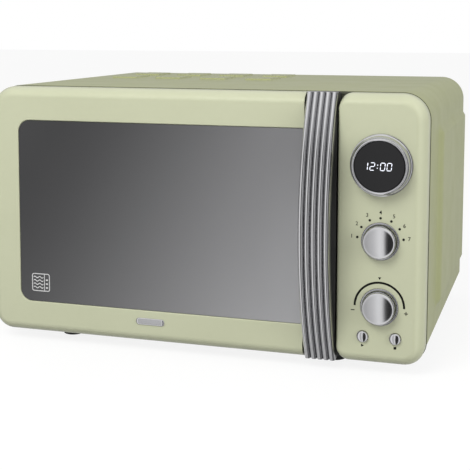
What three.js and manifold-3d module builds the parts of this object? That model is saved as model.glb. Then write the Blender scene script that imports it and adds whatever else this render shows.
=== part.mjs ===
// Countertop microwave oven with a side-hinged door, a bowed ribbed handle, a round display,
// two knobs and two push buttons. Millimetres, +Z up, the door faces -Y, and the origin is on
// the standing surface under the middle of the oven.
import * as THREE from 'three';
import { mergeVertices } from 'three/addons/utils/BufferGeometryUtils.js';
import Module from 'manifold-3d';

const wasm = await Module();
wasm.setup();

// Body. Inside the group "oven", x runs from the body's left side, y from the seam behind the
// front moulding towards the back, and z from the lower edge of the front moulding.
const BODY_WIDTH = 443;
const BODY_HEIGHT = 253;
const SHELL_DEPTH = 318.5; // seam to the back edge of the cover
const FRONT_DEPTH = 21.5; // front moulding, ahead of the seam
const TOP_RADIUS = 25.5;
const BOTTOM_RADIUS = 20;
const ROLL_WIDTH = 11; // rounded front edge, seen from the front
const ROLL_DEPTH = 16; // rounded front edge, seen from the side
const FOOT_HEIGHT = 9;
const FOOT_RADIUS = 11.5;
const FOOT_INSET_X = 72; // left feet from the left side
const FOOT_INSET_RIGHT = 91; // right feet from the right side
const FOOT_INSET_Y = 22; // from the seam, and from the back

// Clearances and stock
const GAP = 0.3; // pieces that rest against each other
const RUN = 0.15; // shaft in its bore, radial
const SLIP = 0.5; // pieces that move past each other
const SEAM = 0.8; // open seam behind the front moulding
const SHEET = 0.8; // steel sheet
const WALL = 2.6; // plastic wall
const ROUND = 28; // sides of a round piece
const LARGE = 36; // sides of a large round piece
const FINE = 16; // sides of a small round piece
const CORNER_STEPS = 5; // facets of a rounded corner
const ROLL_STEPS = 4; // facets of the rounded front edge

// Steel cover
const COVER_RAISE = 4.5; // raised panel on each side
const COVER_PANEL_FRONT = 56;
const COVER_PANEL_BACK = 6.5; // from the back edge
const COVER_PANEL_LOW = 36;
const COVER_PANEL_TOP = 35; // below the top
const COVER_PANEL_RAMP_Y = 18;
const COVER_PANEL_RAMP_Z = 9;
const COVER_START = 18.5; // lower edge of the cover
const PAD_RAISE = 1.6; // small raised pads on top
const PAD_WIDTH = 31;
const PAD_DEPTH = 46;
const PAD_PITCH = 54;
const PAD_FIRST_X = 52;
const PAD_COUNT = 4;
const PAD_ROWS_Y = [174, 247];
const PAD_RAMP = 3;

// Cavity and component bay
const CAVITY_LEFT = 18; // cavity wall from the left side
const CAVITY_FLOOR = 27;
const CAVITY_ABOVE = 28; // above the cavity
const CAVITY_BEHIND = 19.5;
const BAY_WIDTH = 110; // cavity wall to the right side
const BASE_FLANGE = 30;
const REAR_RECESS = 1;

// Door
const DOOR_GAP = 1.5; // between the door and the control panel
const HINGE_X = 6;
const HINGE_AHEAD = 9; // hinge axis ahead of the door's back
const HINGE_PIN = 2.5;
const HINGE_PIN_LENGTH = 11;
const HINGE_ARM = 2.4; // thickness of a hinge arm
const HINGE_ARM_HALF = 3.1; // half its width
const HINGE_LOW = 22;
const HINGE_HIGH = 28; // below the top
const WINDOW_LEFT = 33.4;
const WINDOW_LOW = 33.7;
const WINDOW_TOP = 34.2; // below the top
const WINDOW_RADIUS = 12; // left corners
const WINDOW_CORNER = 2; // right corners, under the handle
const WINDOW_SET = 0.6; // window behind the door's face
const WINDOW_THICK = 3;
const WINDOW_LEDGE = 4;
const SCREEN_Y = -8;
const CHOKE_Y = -3.2;
const CHOKE_THICK = 2;
const SIGHT_MARGIN = 18; // inner window from the cavity's walls
const BADGE_X = 175.5;
const BADGE_Z = 22.5;
const BADGE_LENGTH = 30;
const BADGE_HEIGHT = 7;
const BADGE_THICK = 1.1;

// Handle
const HANDLE_WIDTH = 29.4;
const HANDLE_OVERHANG = 0; // past the door's right edge
const HANDLE_REACH = 53; // crest of the bow ahead of the seam
const HANDLE_RISE = 34.4; // height of the bow
const HANDLE_CARRIER = 6.5;
const RIB_COUNT = 5;
const RIB_DEPTH = 3.4;
const RIB_WEB = 1.4; // chrome under the ribs
const RIB_STEPS = 6; // even, so that a rib has its crest on a facet edge
const BOW_STEPS = 12; // even, as above
const STRIP_MARGIN = 1; // dark strip behind the handle, past its left edge
const STRIP_SET = 1; // strip behind the door's face
const STRIP_WALL = 3;
const STRIP_END = 30; // solid end of the strip
const SCREW_INSET = 11;
const SCREW_RADIUS = 2;
const SCREW_HEAD = 3.6;
const SCREW_LENGTH = 12.5;

// Door latch
const LATCH_LOW = 70; // lower hook
const LATCH_PITCH = 116; // between the hooks
const LATCH_WIDTH = 4;
const LATCH_BAR = 6; // width of the bar that joins the hooks
const LATCH_HEIGHT = 8;
const LATCH_DEPTH = 17; // hook past the seam
const LATCH_TRAVEL = 4;
const LATCH_SWING = 1.6; // room at the right of a hook as the door turns
const SPRING_RADIUS = 2.4;
const SPRING_WIRE = 0.5;
const SPRING_TURNS = 5;
const SPRING_STEPS = 7; // facets of one turn
const SPRING_LENGTH = 24;

// Control panel
const PANEL_WIDTH = 81.5;
const CONTROL_X = 41.5; // control centre line from the right side
const PANEL_CORNER = 11; // corners beside the handle
const DISPLAY_Z = 65.4; // below the top
const DISPLAY_RADIUS = 29;
const DISPLAY_FACE_RADIUS = 22.8;
const DISPLAY_RISE = 12;
const DISPLAY_LENS_THICK = 2;
const MODE_Z = 117.4;
const DIAL_Z = 56;
const KNOB_BASE_RADIUS = 15.3;
const KNOB_TAPER = 0.2;
const KNOB_LENGTH = 8.5;
const KNOB_EDGE = 1.8;
const KNOB_LIFT = 1.8; // knob's base off the panel
const KNOB_BORE_DEPTH = 6.5;
const RING_WALL = 1.85;
const RING_RISE = 1.3;
const SHAFT_RADIUS = 3;
const BUTTON_Z = 27.2;
const BUTTON_PITCH = 30.2;
const BUTTON_RADIUS = 5.4;
const BUTTON_RISE = 3.6;
const PRESS_TRAVEL = 1.5;
const BOARD_Y = -8; // front of the control board
const BOARD_THICK = 1.6;

// Turntable
const TRAY_RADIUS = 122.5;
const TRAY_THICK = 4.5;
const TRAY_RIM = 11;
const ROLLER_RADIUS = 8;
const ROLLER_WIDTH = 8;
const ROLLER_TRACK = 92; // middle of a roller from the axis
const ROLLER_COUNT = 3;
const ROLLER_PIN = 1.8;
const RING_WIDTH = 6;
const RING_HEIGHT = 4;
const COUPLER_RADIUS = 13;
const TURN_SHAFT = 3.5;
const MOTOR_RADIUS = 24.5;
const MOTOR_HEIGHT = 15.5;

// Component bay
const FAN_RADIUS = 42;
const FAN_Z = 165;
const FAN_BEHIND = 38; // fan panel ahead of the back edge
const FAN_DUCT = 20;
const FAN_BLADES = 5;
const CORE_WIDTH = 46;
const CORE_DEPTH = 92;
const CORE_HEIGHT = 68;
const CORE_LEG = 30;
const CORE_YOKE = 14;
const WINDING_BUILD = 14;
const GUIDE_DEPTH = 36;
const GUIDE_LENGTH = 90;
const GUIDE_HEIGHT = 96;
const GUIDE_Y = 120;
const GUIDE_TOP = 33; // below the top
const APERTURE_LENGTH = 70;
const APERTURE_HEIGHT = 40;
const MAGNETRON_WIDTH = 58;
const MAGNETRON_SIDE = 78;
const ANTENNA_RADIUS = 8;
const LAMP_Y = 75;
const LAMP_BELOW = 29; // lamp below the cavity's top
const VENT_Y = 210;
const VENT_LENGTH = 40;
const VENT_BELOW = 49; // lowest vent below the cavity's top

// Worked out from the sizes above
const HALF = Math.PI / 2;
const FRAME_Y = SEAM;
const INSIDE_Y = FRAME_Y + SHEET + GAP; // front edge of what sits behind the front frame
const CAVITY_RIGHT = BODY_WIDTH - BAY_WIDTH;
const CAVITY_TOP = BODY_HEIGHT - CAVITY_ABOVE;
const CAVITY_BACK = SHELL_DEPTH - CAVITY_BEHIND;
const BAY_LEFT = CAVITY_RIGHT + SHEET + GAP;
const BAY_RIGHT = BODY_WIDTH - SHEET - GAP;
const BAY_MIDDLE = (BAY_LEFT + BAY_RIGHT) / 2;
const COVER_INSET = SHEET + GAP;
const BASE_TOP = COVER_INSET + SHEET;
const REAR_Y = SHELL_DEPTH - REAR_RECESS - SHEET;
const PANEL_LEFT = BODY_WIDTH - PANEL_WIDTH;
const DOOR_WIDTH = PANEL_LEFT - DOOR_GAP;
const HANDLE_RIGHT = DOOR_WIDTH + HANDLE_OVERHANG;
const HANDLE_LEFT = HANDLE_RIGHT - HANDLE_WIDTH;
const STRIP_RIGHT = DOOR_WIDTH;
const STRIP_LEFT = HANDLE_LEFT - STRIP_MARGIN;
const STRIP_MIDDLE = (STRIP_LEFT + STRIP_RIGHT) / 2;
const WINDOW_RIGHT = STRIP_LEFT - GAP; // the window runs to the strip
const CONTROL_LINE = BODY_WIDTH - CONTROL_X;
const MIDDLE_Z = BODY_HEIGHT / 2;
const BOW_RADIUS = (MIDDLE_Z * MIDDLE_Z + HANDLE_RISE * HANDLE_RISE) / (2 * HANDLE_RISE);
const CARRIER_RADIUS = BOW_RADIUS - RIB_DEPTH - RIB_WEB - GAP - HANDLE_CARRIER;
const TABLE_X = (CAVITY_LEFT + CAVITY_RIGHT) / 2;
const TABLE_Y = (INSIDE_Y + CAVITY_BACK) / 2;
const ROLLER_Z = CAVITY_FLOOR + GAP + ROLLER_RADIUS;
const TRAY_Z = ROLLER_Z + ROLLER_RADIUS + GAP;
const LATCH_X = STRIP_MIDDLE + 1;
const KNOB_FRONT_RADIUS = KNOB_BASE_RADIUS - KNOB_TAPER;
const RING_INNER = KNOB_BASE_RADIUS + SLIP;
const RING_RADIUS = RING_INNER + RING_WALL;
const FAN_Y = SHELL_DEPTH - FAN_BEHIND;
const GUIDE_LOW = BODY_HEIGHT - GUIDE_TOP - GUIDE_HEIGHT;
const DISPLAY_HEIGHT = BODY_HEIGHT - DISPLAY_Z;
const LAMP_HEIGHT = CAVITY_TOP - LAMP_BELOW;

const FINISHES = {
  green: { color: 0xb9bc96, roughness: 0.35, metalness: 0 },
  greenSteel: { color: 0xabae88, roughness: 0.4, metalness: 0.1 },
  chrome: { color: 0xd8d8d8, roughness: 0.15, metalness: 1 },
  dark: { color: 0x3a3a3a, roughness: 0.5, metalness: 0 },
  black: { color: 0x111111, roughness: 0.4, metalness: 0 },
  smoked: { color: 0x5c5c5c, roughness: 0.08, metalness: 0.6 },
  steel: { color: 0xb0b2b4, roughness: 0.4, metalness: 0.9 },
  enamel: { color: 0xc9c9c4, roughness: 0.45, metalness: 0 },
  copper: { color: 0xb4673a, roughness: 0.4, metalness: 0.9 },
  laminate: { color: 0x6d6258, roughness: 0.6, metalness: 0.5 },
  board: { color: 0x2f5d3a, roughness: 0.6, metalness: 0 },
  white: { color: 0xe8e6df, roughness: 0.5, metalness: 0 },
  mica: { color: 0xb9a988, roughness: 0.6, metalness: 0 },
  glass: { color: 0xdfe8e6, roughness: 0.05, metalness: 0, transparent: true, opacity: 0.4 },
};

// --- Solids: cut and join -------------------------------------------------------------------

function toSolid(geometry) {
  const bare = geometry.clone();
  bare.deleteAttribute('normal');
  bare.deleteAttribute('uv');
  const merged = mergeVertices(bare, 1e-3);
  return new wasm.Manifold(new wasm.Mesh({
    numProp: 3,
    vertProperties: new Float32Array(merged.attributes.position.array),
    triVerts: new Uint32Array(merged.index.array),
  }));
}

function toGeometry(manifold) {
  const { vertProperties, triVerts } = manifold.getMesh();
  const geometry = new THREE.BufferGeometry();
  geometry.setAttribute('position', new THREE.BufferAttribute(vertProperties, 3));
  geometry.setIndex(new THREE.BufferAttribute(triVerts, 1));
  geometry.computeVertexNormals();
  return geometry;
}

function combine(operation, first, others) {
  const result = others.reduce((made, next) => made[operation](toSolid(next)), toSolid(first));
  return toGeometry(result);
}

const join = (first, ...others) => combine('add', first, others);
const cut = (first, ...others) => combine('subtract', first, others);
const common = (first, ...others) => combine('intersect', first, others);

// --- Plain shapes ---------------------------------------------------------------------------

// Box between two corners.
function box(x0, x1, y0, y1, z0, z1) {
  const geometry = new THREE.BoxGeometry(x1 - x0, y1 - y0, z1 - z0);
  return geometry.translate((x0 + x1) / 2, (y0 + y1) / 2, (z0 + z1) / 2);
}

// Profile of [radius, height] points turned about X, Y or Z, with its height along that axis.
function turned(axis, profile, sides = ROUND) {
  const points = profile.map(([radius, height]) => new THREE.Vector2(radius, height));
  const geometry = new THREE.LatheGeometry(points, sides);
  if (axis === 'x') geometry.rotateZ(-HALF);
  if (axis === 'z') geometry.rotateX(HALF);
  return geometry;
}

// Round bar along an axis, from one height to another.
function bar(axis, radius, from, to, sides = FINE) {
  return turned(axis, [[0, from], [radius, from], [radius, to], [0, to]], sides);
}

// Ring along an axis.
function ring(axis, inner, outer, from, to, sides = ROUND) {
  return turned(axis, [[inner, from], [outer, from], [outer, to], [inner, to], [inner, from]], sides);
}

// Rectangle in x and z with its own radius at the two left and the two right corners.
function rounded(x0, x1, z0, z1, lowLeft, lowRight, topRight, topLeft) {
  const shape = new THREE.Shape();
  shape.absarc(x0 + lowLeft, z0 + lowLeft, lowLeft, Math.PI, 1.5 * Math.PI, false);
  shape.absarc(x1 - lowRight, z0 + lowRight, lowRight, 1.5 * Math.PI, 2 * Math.PI, false);
  shape.absarc(x1 - topRight, z1 - topRight, topRight, 0, HALF, false);
  shape.absarc(x0 + topLeft, z1 - topLeft, topLeft, HALF, Math.PI, false);
  return shape;
}

// Shape in x and z, given a thickness from y0 back to y1.
function plate(shape, y0, y1, curveSegments = CORNER_STEPS) {
  const settings = { depth: y1 - y0, bevelEnabled: false, curveSegments };
  return new THREE.ExtrudeGeometry(shape, settings).rotateX(HALF).translate(0, y1, 0);
}

// Outline of the body, seen from the front, moved in by an inset.
function bodyOutline(inset) {
  const top = TOP_RADIUS - inset;
  const low = BOTTOM_RADIUS - inset;
  return rounded(inset, BODY_WIDTH - inset, inset, BODY_HEIGHT - inset, low, low, top, top);
}

// The front moulding with its rounded front edge, as a block, its whole skin moved in by an inset.
function moulding(inset) {
  const depth = 2 * FRONT_DEPTH;
  const settings = {
    depth,
    bevelEnabled: true,
    bevelSize: ROLL_WIDTH - inset,
    bevelOffset: inset - ROLL_WIDTH,
    bevelThickness: ROLL_DEPTH - inset,
    bevelSegments: ROLL_STEPS,
    curveSegments: CORNER_STEPS,
  };
  const block = new THREE.ExtrudeGeometry(bodyOutline(inset), settings).rotateX(HALF);
  block.translate(0, inset - FRONT_DEPTH + depth + ROLL_DEPTH - inset, 0);
  return common(block, box(-1, BODY_WIDTH + 1, -2 * FRONT_DEPTH, 0, -1, BODY_HEIGHT + 1));
}

const slab = (x0, x1) => box(x0, x1, -100, 10, -10, BODY_HEIGHT + 10);
const placed = (geometry, x, y, z) => geometry.translate(x, y, z);

// --- The assembly -----------------------------------------------------------------------------

const oven = new THREE.Group();
oven.position.set(-BODY_WIDTH / 2, (HANDLE_REACH - SHELL_DEPTH) / 2, FOOT_HEIGHT);

function piece(name, finish, geometry, place = [0, 0, 0]) {
  const mesh = new THREE.Mesh(geometry, new THREE.MeshStandardMaterial(FINISHES[finish]));
  mesh.name = name;
  mesh.position.set(...place);
  oven.add(mesh);
  return mesh;
}

// Height of a raised panel at one place: 0 outside it, 1 on its flat, with a ramp between.
function ramp(value, from, to, width) {
  return THREE.MathUtils.clamp(Math.min(value - from, to - value) / width, 0, 1);
}

function coverRaise(point, y) {
  if (Math.abs(point.nx) === 1) {
    const back = SHELL_DEPTH - COVER_PANEL_BACK;
    const top = BODY_HEIGHT - COVER_PANEL_TOP;
    const rise = ramp(point.z, COVER_PANEL_LOW, top, COVER_PANEL_RAMP_Z);
    return COVER_RAISE * Math.min(rise, ramp(y, COVER_PANEL_FRONT, back, COVER_PANEL_RAMP_Y));
  }
  if (point.nz !== 1) return 0;
  const column = (point.x - PAD_FIRST_X) % PAD_PITCH;
  const inPads = point.x >= PAD_FIRST_X && point.x < PAD_FIRST_X + PAD_COUNT * PAD_PITCH;
  const rise = inPads ? ramp(column, 0, PAD_WIDTH, PAD_RAMP) : 0;
  const rows = PAD_ROWS_Y.map((row) => ramp(y, row, row + PAD_DEPTH, PAD_RAMP));
  return PAD_RAISE * Math.min(rise, Math.max(...rows));
}

// Points of the cover's outer outline, from the lower left edge over the top to the lower right.
function coverOutline() {
  const shoulder = BODY_HEIGHT - TOP_RADIUS;
  const low = COVER_PANEL_LOW;
  const top = BODY_HEIGHT - COVER_PANEL_TOP;
  const heights = [COVER_START, low, low + COVER_PANEL_RAMP_Z, top - COVER_PANEL_RAMP_Z, top];
  const left = heights.map((z) => ({ x: 0, z, nx: -1, nz: 0 }));
  for (let step = 0; step < CORNER_STEPS; step += 1) {
    const turn = (step / CORNER_STEPS) * HALF;
    const nx = step === 0 ? -1 : -Math.cos(turn);
    const nz = Math.sin(turn);
    left.push({ x: TOP_RADIUS * (1 + nx), z: shoulder + TOP_RADIUS * nz, nx, nz });
  }
  left.push({ x: TOP_RADIUS, z: BODY_HEIGHT, nx: 0, nz: 1 });
  const right = left.map(({ x, z, nx, nz }) => ({ x: BODY_WIDTH - x, z, nx: -nx, nz })).reverse();
  const pads = [];
  for (let index = 0; index < PAD_COUNT; index += 1) {
    const start = PAD_FIRST_X + index * PAD_PITCH;
    for (const x of [start, start + PAD_RAMP, start + PAD_WIDTH - PAD_RAMP, start + PAD_WIDTH]) {
      pads.push({ x, z: BODY_HEIGHT, nx: 0, nz: 1 });
    }
  }
  return [...left, ...pads, ...right];
}

// Places along the depth where the cover's raised panels start, flatten or end.
function coverRows() {
  const back = SHELL_DEPTH - COVER_PANEL_BACK;
  const sides = [COVER_PANEL_FRONT, COVER_PANEL_FRONT + COVER_PANEL_RAMP_Y];
  sides.push(back - COVER_PANEL_RAMP_Y, back);
  const pads = PAD_ROWS_Y.flatMap((row) => [
    row, row + PAD_RAMP, row + PAD_DEPTH - PAD_RAMP, row + PAD_DEPTH,
  ]);
  const inner = [...new Set([...sides, ...pads])].sort((a, b) => a - b);
  return [FRAME_Y, ...inner, SHELL_DEPTH];
}

// One sheet folded over the body, with panels pressed out of it: a flat box whose columns
// follow the outline and whose rows follow the depth.
function outerCover() {
  const outline = coverOutline();
  const rows = coverRows();
  const columnCount = outline.length - 1;
  const rowCount = rows.length - 1;
  const geometry = new THREE.BoxGeometry(1, 1, 1, columnCount, 1, rowCount);
  const spots = geometry.attributes.position;
  for (let index = 0; index < spots.count; index += 1) {
    const point = outline[Math.round((spots.getX(index) + 0.5) * columnCount)];
    const y = rows[Math.round((0.5 - spots.getZ(index)) * rowCount)];
    const out = coverRaise(point, y) - (spots.getY(index) < 0 ? SHEET : 0);
    spots.setXYZ(index, point.x + point.nx * out, y, point.z + point.nz * out);
  }
  geometry.computeVertexNormals();
  return geometry;
}

function basePlate() {
  const back = REAR_Y - GAP;
  const outer = plate(bodyOutline(COVER_INSET), INSIDE_Y, back);
  const inner = plate(bodyOutline(COVER_INSET + SHEET), INSIDE_Y - 1, back + 1);
  const above = box(-1, BODY_WIDTH + 1, 0, SHELL_DEPTH, BASE_FLANGE, BODY_HEIGHT + 1);
  const holes = footPlaces().map(([x, y]) => placed(bar('z', 3 + GAP, 0, 5), x, y, 0));
  return cut(outer, inner, above, ...holes);
}

function footPlaces() {
  const columns = [FOOT_INSET_X, BODY_WIDTH - FOOT_INSET_RIGHT];
  const rows = [FOOT_INSET_Y, SHELL_DEPTH - FOOT_INSET_Y];
  return columns.flatMap((x) => rows.map((y) => [x, y]));
}

function foot() {
  const top = COVER_INSET - GAP;
  const side = FOOT_RADIUS - 0.8;
  return turned('z', [
    [0, -FOOT_HEIGHT], [side - 0.8, -FOOT_HEIGHT], [side, 0.8 - FOOT_HEIGHT],
    [FOOT_RADIUS, top], [3, top], [3, BASE_TOP + 2], [0, BASE_TOP + 2],
  ], FINE);
}

// Row of slots through a sheet that faces the front or the back.
function slots(x0, x1, y, count, firstZ, pitch, height) {
  const holes = [];
  for (let index = 0; index < count; index += 1) {
    const z = firstZ + index * pitch;
    holes.push(box(x0, x1, y - 3, y + 3, z, z + height));
  }
  return holes;
}

function hookSlot(hookZ, y0, y1) {
  const left = LATCH_X - LATCH_WIDTH / 2 - SLIP;
  const right = LATCH_X + LATCH_WIDTH / 2 + SLIP + LATCH_SWING;
  const low = hookZ - LATCH_HEIGHT / 2 - SLIP;
  return box(left, right, y0, y1, low, hookZ + LATCH_HEIGHT / 2 + LATCH_TRAVEL + SLIP);
}

const hookHeights = () => [LATCH_LOW, LATCH_LOW + LATCH_PITCH];
const hingeHeights = () => [HINGE_LOW, BODY_HEIGHT - HINGE_HIGH - HINGE_ARM];

function frontFrame() {
  const y0 = FRAME_Y - 1;
  const y1 = FRAME_Y + SHEET + 1;
  const cavity = box(CAVITY_LEFT, CAVITY_RIGHT, y0, y1, CAVITY_FLOOR, CAVITY_TOP);
  const bay = box(PANEL_LEFT + 8, BODY_WIDTH - 8, y0, y1, 14, BODY_HEIGHT - 14);
  const notches = hingeHeights().map((z) => {
    const side = HINGE_X + HINGE_ARM_HALF + GAP;
    return box(-1, side, y0, y1, z - GAP, z + HINGE_ARM + GAP);
  });
  const hooks = hookHeights().map((z) => hookSlot(z, y0, y1));
  const sheet = plate(bodyOutline(COVER_INSET), FRAME_Y, FRAME_Y + SHEET);
  return cut(sheet, cavity, bay, ...notches, ...hooks);
}

function cavityLiner() {
  const outer = box(
    CAVITY_LEFT - SHEET, CAVITY_RIGHT + SHEET, INSIDE_Y, CAVITY_BACK + SHEET,
    CAVITY_FLOOR - SHEET, CAVITY_TOP + SHEET,
  );
  const inner = box(CAVITY_LEFT, CAVITY_RIGHT, 0, CAVITY_BACK, CAVITY_FLOOR, CAVITY_TOP);
  const shaftHole = placed(
    bar('z', TURN_SHAFT + SLIP, CAVITY_FLOOR - 5, CAVITY_FLOOR + 5), TABLE_X, TABLE_Y, 0,
  );
  const wallX = [CAVITY_RIGHT - 2, CAVITY_RIGHT + 3];
  const guideY = GUIDE_Y + GUIDE_LENGTH / 2;
  const guideZ = GUIDE_LOW + GUIDE_HEIGHT / 2;
  const aperture = box(
    ...wallX, guideY - APERTURE_LENGTH / 2, guideY + APERTURE_LENGTH / 2,
    guideZ - APERTURE_HEIGHT / 2, guideZ + APERTURE_HEIGHT / 2,
  );
  const lampSlots = [-9, -3, 3, 9].map((rise) => {
    const z = LAMP_HEIGHT + rise;
    return box(...wallX, LAMP_Y - 13, LAMP_Y + 13, z - 1.5, z + 1.5);
  });
  const ventX = [CAVITY_LEFT - 3, CAVITY_LEFT + 2];
  const vents = [0, 7, 14, 21, 28].map((rise) => {
    const z = CAVITY_TOP - VENT_BELOW + rise;
    return box(...ventX, VENT_Y, VENT_Y + VENT_LENGTH, z, z + 3.5);
  });
  return cut(outer, inner, shaftHole, aperture, ...lampSlots, ...vents);
}

function rearPanel() {
  const sheet = plate(bodyOutline(COVER_INSET), REAR_Y, REAR_Y + SHEET);
  const intake = slots(BAY_MIDDLE - 38, BAY_MIDDLE + 38, REAR_Y, 11, FAN_Z - 40, 7.4, 3.4);
  const exhaust = slots(40, 130, REAR_Y, 6, BODY_HEIGHT - 74, 7.4, 3.4);
  const inlet = placed(bar('y', 8, REAR_Y - 3, REAR_Y + 3), ...glandPlace(0));
  return cut(sheet, ...intake, ...exhaust, inlet);
}

const glandPlace = (y) => [BAY_MIDDLE + 28, y, 46];

function cordGland() {
  const back = REAR_Y + SHEET + GAP;
  return turned('y', [
    [4.2, REAR_Y - 8], [7.5, REAR_Y - 8], [7.5, back], [11, back],
    [9.6, SHELL_DEPTH], [4.2, SHELL_DEPTH], [4.2, REAR_Y - 8],
  ], FINE);
}

// --- Door -------------------------------------------------------------------------------------

function windowOutline(inset) {
  const left = WINDOW_RADIUS - inset;
  const right = Math.max(WINDOW_CORNER - inset, GAP);
  return rounded(
    WINDOW_LEFT + inset, WINDOW_RIGHT - inset, WINDOW_LOW + inset,
    BODY_HEIGHT - WINDOW_TOP - inset, left, right, right, left,
  );
}

// Boss that carries one hinge pin, as high as the pin and on the side where the pin stands.
function hingeBoss(armZ, up) {
  const low = up ? armZ + HINGE_ARM + SLIP : armZ - SLIP - HINGE_PIN_LENGTH - 3;
  const high = low + HINGE_PIN_LENGTH + 3;
  return box(1, HINGE_X + HINGE_PIN + WALL, -HINGE_AHEAD - 6.5, CHOKE_Y - GAP, low, high);
}

// What a hinge takes out of the door: the pin's bore, and room for the arm as the door turns.
function hingeRoom(armZ) {
  const axis = [HINGE_X, -HINGE_AHEAD, 0];
  const reach = HINGE_PIN_LENGTH + SLIP + 1;
  const bore = bar('z', HINGE_PIN + RUN, armZ - reach, armZ + HINGE_ARM + reach);
  const clear = HINGE_ARM_HALF + SLIP;
  const low = armZ - SLIP;
  const high = armZ + HINGE_ARM + SLIP;
  const slot = box(-1, HINGE_X + clear, -HINGE_AHEAD - 6.2, 1, low, high);
  return [placed(bore, ...axis), slot];
}

// The door's back left edge is rounded about the hinge axis so that it clears the frame.
function hingeRelief() {
  const radius = HINGE_AHEAD + SEAM - GAP;
  const corner = box(-1, HINGE_X, -HINGE_AHEAD, 1, -1, BODY_HEIGHT + 1);
  const round = placed(bar('z', radius, -2, BODY_HEIGHT + 2, LARGE), HINGE_X, -HINGE_AHEAD, 0);
  return cut(corner, round);
}

// Recess in the back of the door for the choke cover.
function backRecess(inset, y0, y1) {
  const right = DOOR_WIDTH - inset;
  return common(plate(bodyOutline(inset), y0, y1), slab(0, right));
}

function doorFrame() {
  const surround = cut(
    plate(windowOutline(-WINDOW_LEDGE), -FRONT_DEPTH + 1, -FRONT_DEPTH + 8),
    plate(windowOutline(WINDOW_LEDGE), -FRONT_DEPTH - 1, -FRONT_DEPTH + 9),
  );
  const [low, high] = hingeHeights();
  const bosses = [hingeBoss(low, true), hingeBoss(high, false)];
  const hollow = common(moulding(WALL), slab(0, STRIP_LEFT + 50));
  const shell = common(
    join(cut(moulding(0), hollow), surround, ...bosses.map((boss) => common(boss, moulding(0.5)))),
    slab(-1, STRIP_LEFT - GAP),
  );
  const rebate = plate(windowOutline(-GAP), -30, -FRONT_DEPTH + WINDOW_SET + WINDOW_THICK + GAP);
  const sight = plate(windowOutline(WINDOW_LEDGE), -30, 0);
  return cut(shell, rebate, sight, hingeRelief(), ...hingeRoom(low), ...hingeRoom(high));
}

function doorWindow() {
  const front = -FRONT_DEPTH + WINDOW_SET;
  return plate(windowOutline(0), front, front + WINDOW_THICK);
}

function doorScreen() {
  const left = HINGE_X + HINGE_PIN + WALL + 2 * GAP;
  const right = STRIP_LEFT - GAP - 1;
  const low = 9;
  const top = BODY_HEIGHT - 9;
  const outer = box(left, right, SCREEN_Y, CHOKE_Y - GAP, low, top);
  const tray = box(left + SHEET, right - SHEET, SCREEN_Y + SHEET, 0, low + SHEET, top - SHEET);
  return cut(outer, tray);
}

// Sight opening of the door, seen from the cavity.
function sightOutline(inset) {
  const margin = SIGHT_MARGIN + inset;
  return rounded(
    CAVITY_LEFT + margin, CAVITY_RIGHT - margin, CAVITY_FLOOR + margin, CAVITY_TOP - margin,
    8, 8, 8, 8,
  );
}

function chokeCover() {
  const outer = backRecess(WALL + SLIP, CHOKE_Y, CHOKE_Y + CHOKE_THICK);
  const sight = plate(sightOutline(0), CHOKE_Y - 1, 0);
  const hooks = hookHeights().map((z) => hookSlot(z, CHOKE_Y - 1, 0));
  return cut(outer, sight, hingeRelief(), ...hingeHeights().flatMap(hingeRoom), ...hooks);
}

function innerWindow() {
  return plate(sightOutline(GAP), CHOKE_Y, CHOKE_Y + CHOKE_THICK - 0.4);
}

// Distance ahead of the seam of a surface a given height off the bow's own radius.
function bowY(radius, z) {
  const centre = BOW_RADIUS - HANDLE_REACH;
  const off = z - MIDDLE_Z;
  return centre - Math.sqrt(radius * radius - off * off);
}

// Straight bar bent to the handle's bow: its section is drawn in x and outward height.
function bowed(section, innerRadius) {
  const settings = { depth: BODY_HEIGHT, steps: BOW_STEPS, bevelEnabled: false };
  const geometry = new THREE.ExtrudeGeometry(section, settings);
  const spots = geometry.attributes.position;
  for (let index = 0; index < spots.count; index += 1) {
    const z = BODY_HEIGHT - spots.getZ(index);
    spots.setXYZ(index, spots.getX(index), bowY(innerRadius + spots.getY(index), z), z);
  }
  geometry.computeVertexNormals();
  return geometry;
}

function handleRibs() {
  const section = new THREE.Shape();
  const pitch = HANDLE_WIDTH / RIB_COUNT;
  section.moveTo(HANDLE_LEFT, 0);
  section.lineTo(HANDLE_RIGHT, 0);
  for (let rib = RIB_COUNT - 1; rib >= 0; rib -= 1) {
    for (let step = 0; step <= RIB_STEPS; step += 1) {
      const turn = (Math.PI * step) / RIB_STEPS;
      const x = HANDLE_LEFT + pitch * (rib + 0.5 + 0.48 * Math.cos(turn));
      section.lineTo(x, RIB_WEB + RIB_DEPTH * Math.sin(turn));
    }
  }
  return bowed(section, BOW_RADIUS - RIB_DEPTH - RIB_WEB);
}

function handleCarrier() {
  const section = new THREE.Shape();
  section.moveTo(HANDLE_LEFT + 0.8, 0);
  section.lineTo(HANDLE_RIGHT - 0.8, 0);
  section.lineTo(HANDLE_RIGHT - 0.3, HANDLE_CARRIER);
  section.lineTo(HANDLE_LEFT + 0.3, HANDLE_CARRIER);
  return cut(bowed(section, CARRIER_RADIUS), ...screwHoles(SCREW_RADIUS + GAP));
}

const screwHeights = () => [SCREW_INSET, BODY_HEIGHT - SCREW_INSET];

function screwHoles(radius) {
  const x = STRIP_MIDDLE;
  const tip = CHOKE_Y - GAP - SCREW_LENGTH - GAP;
  return screwHeights().map((z) => placed(bar('y', radius, tip, 0), x, 0, z));
}

function handleScrew() {
  const back = CHOKE_Y - GAP;
  const neck = back - 2.4;
  return turned('y', [
    [0, back - SCREW_LENGTH], [SCREW_RADIUS, back - SCREW_LENGTH], [SCREW_RADIUS, neck],
    [SCREW_HEAD, neck], [SCREW_HEAD, back], [0, back],
  ], FINE);
}

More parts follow.
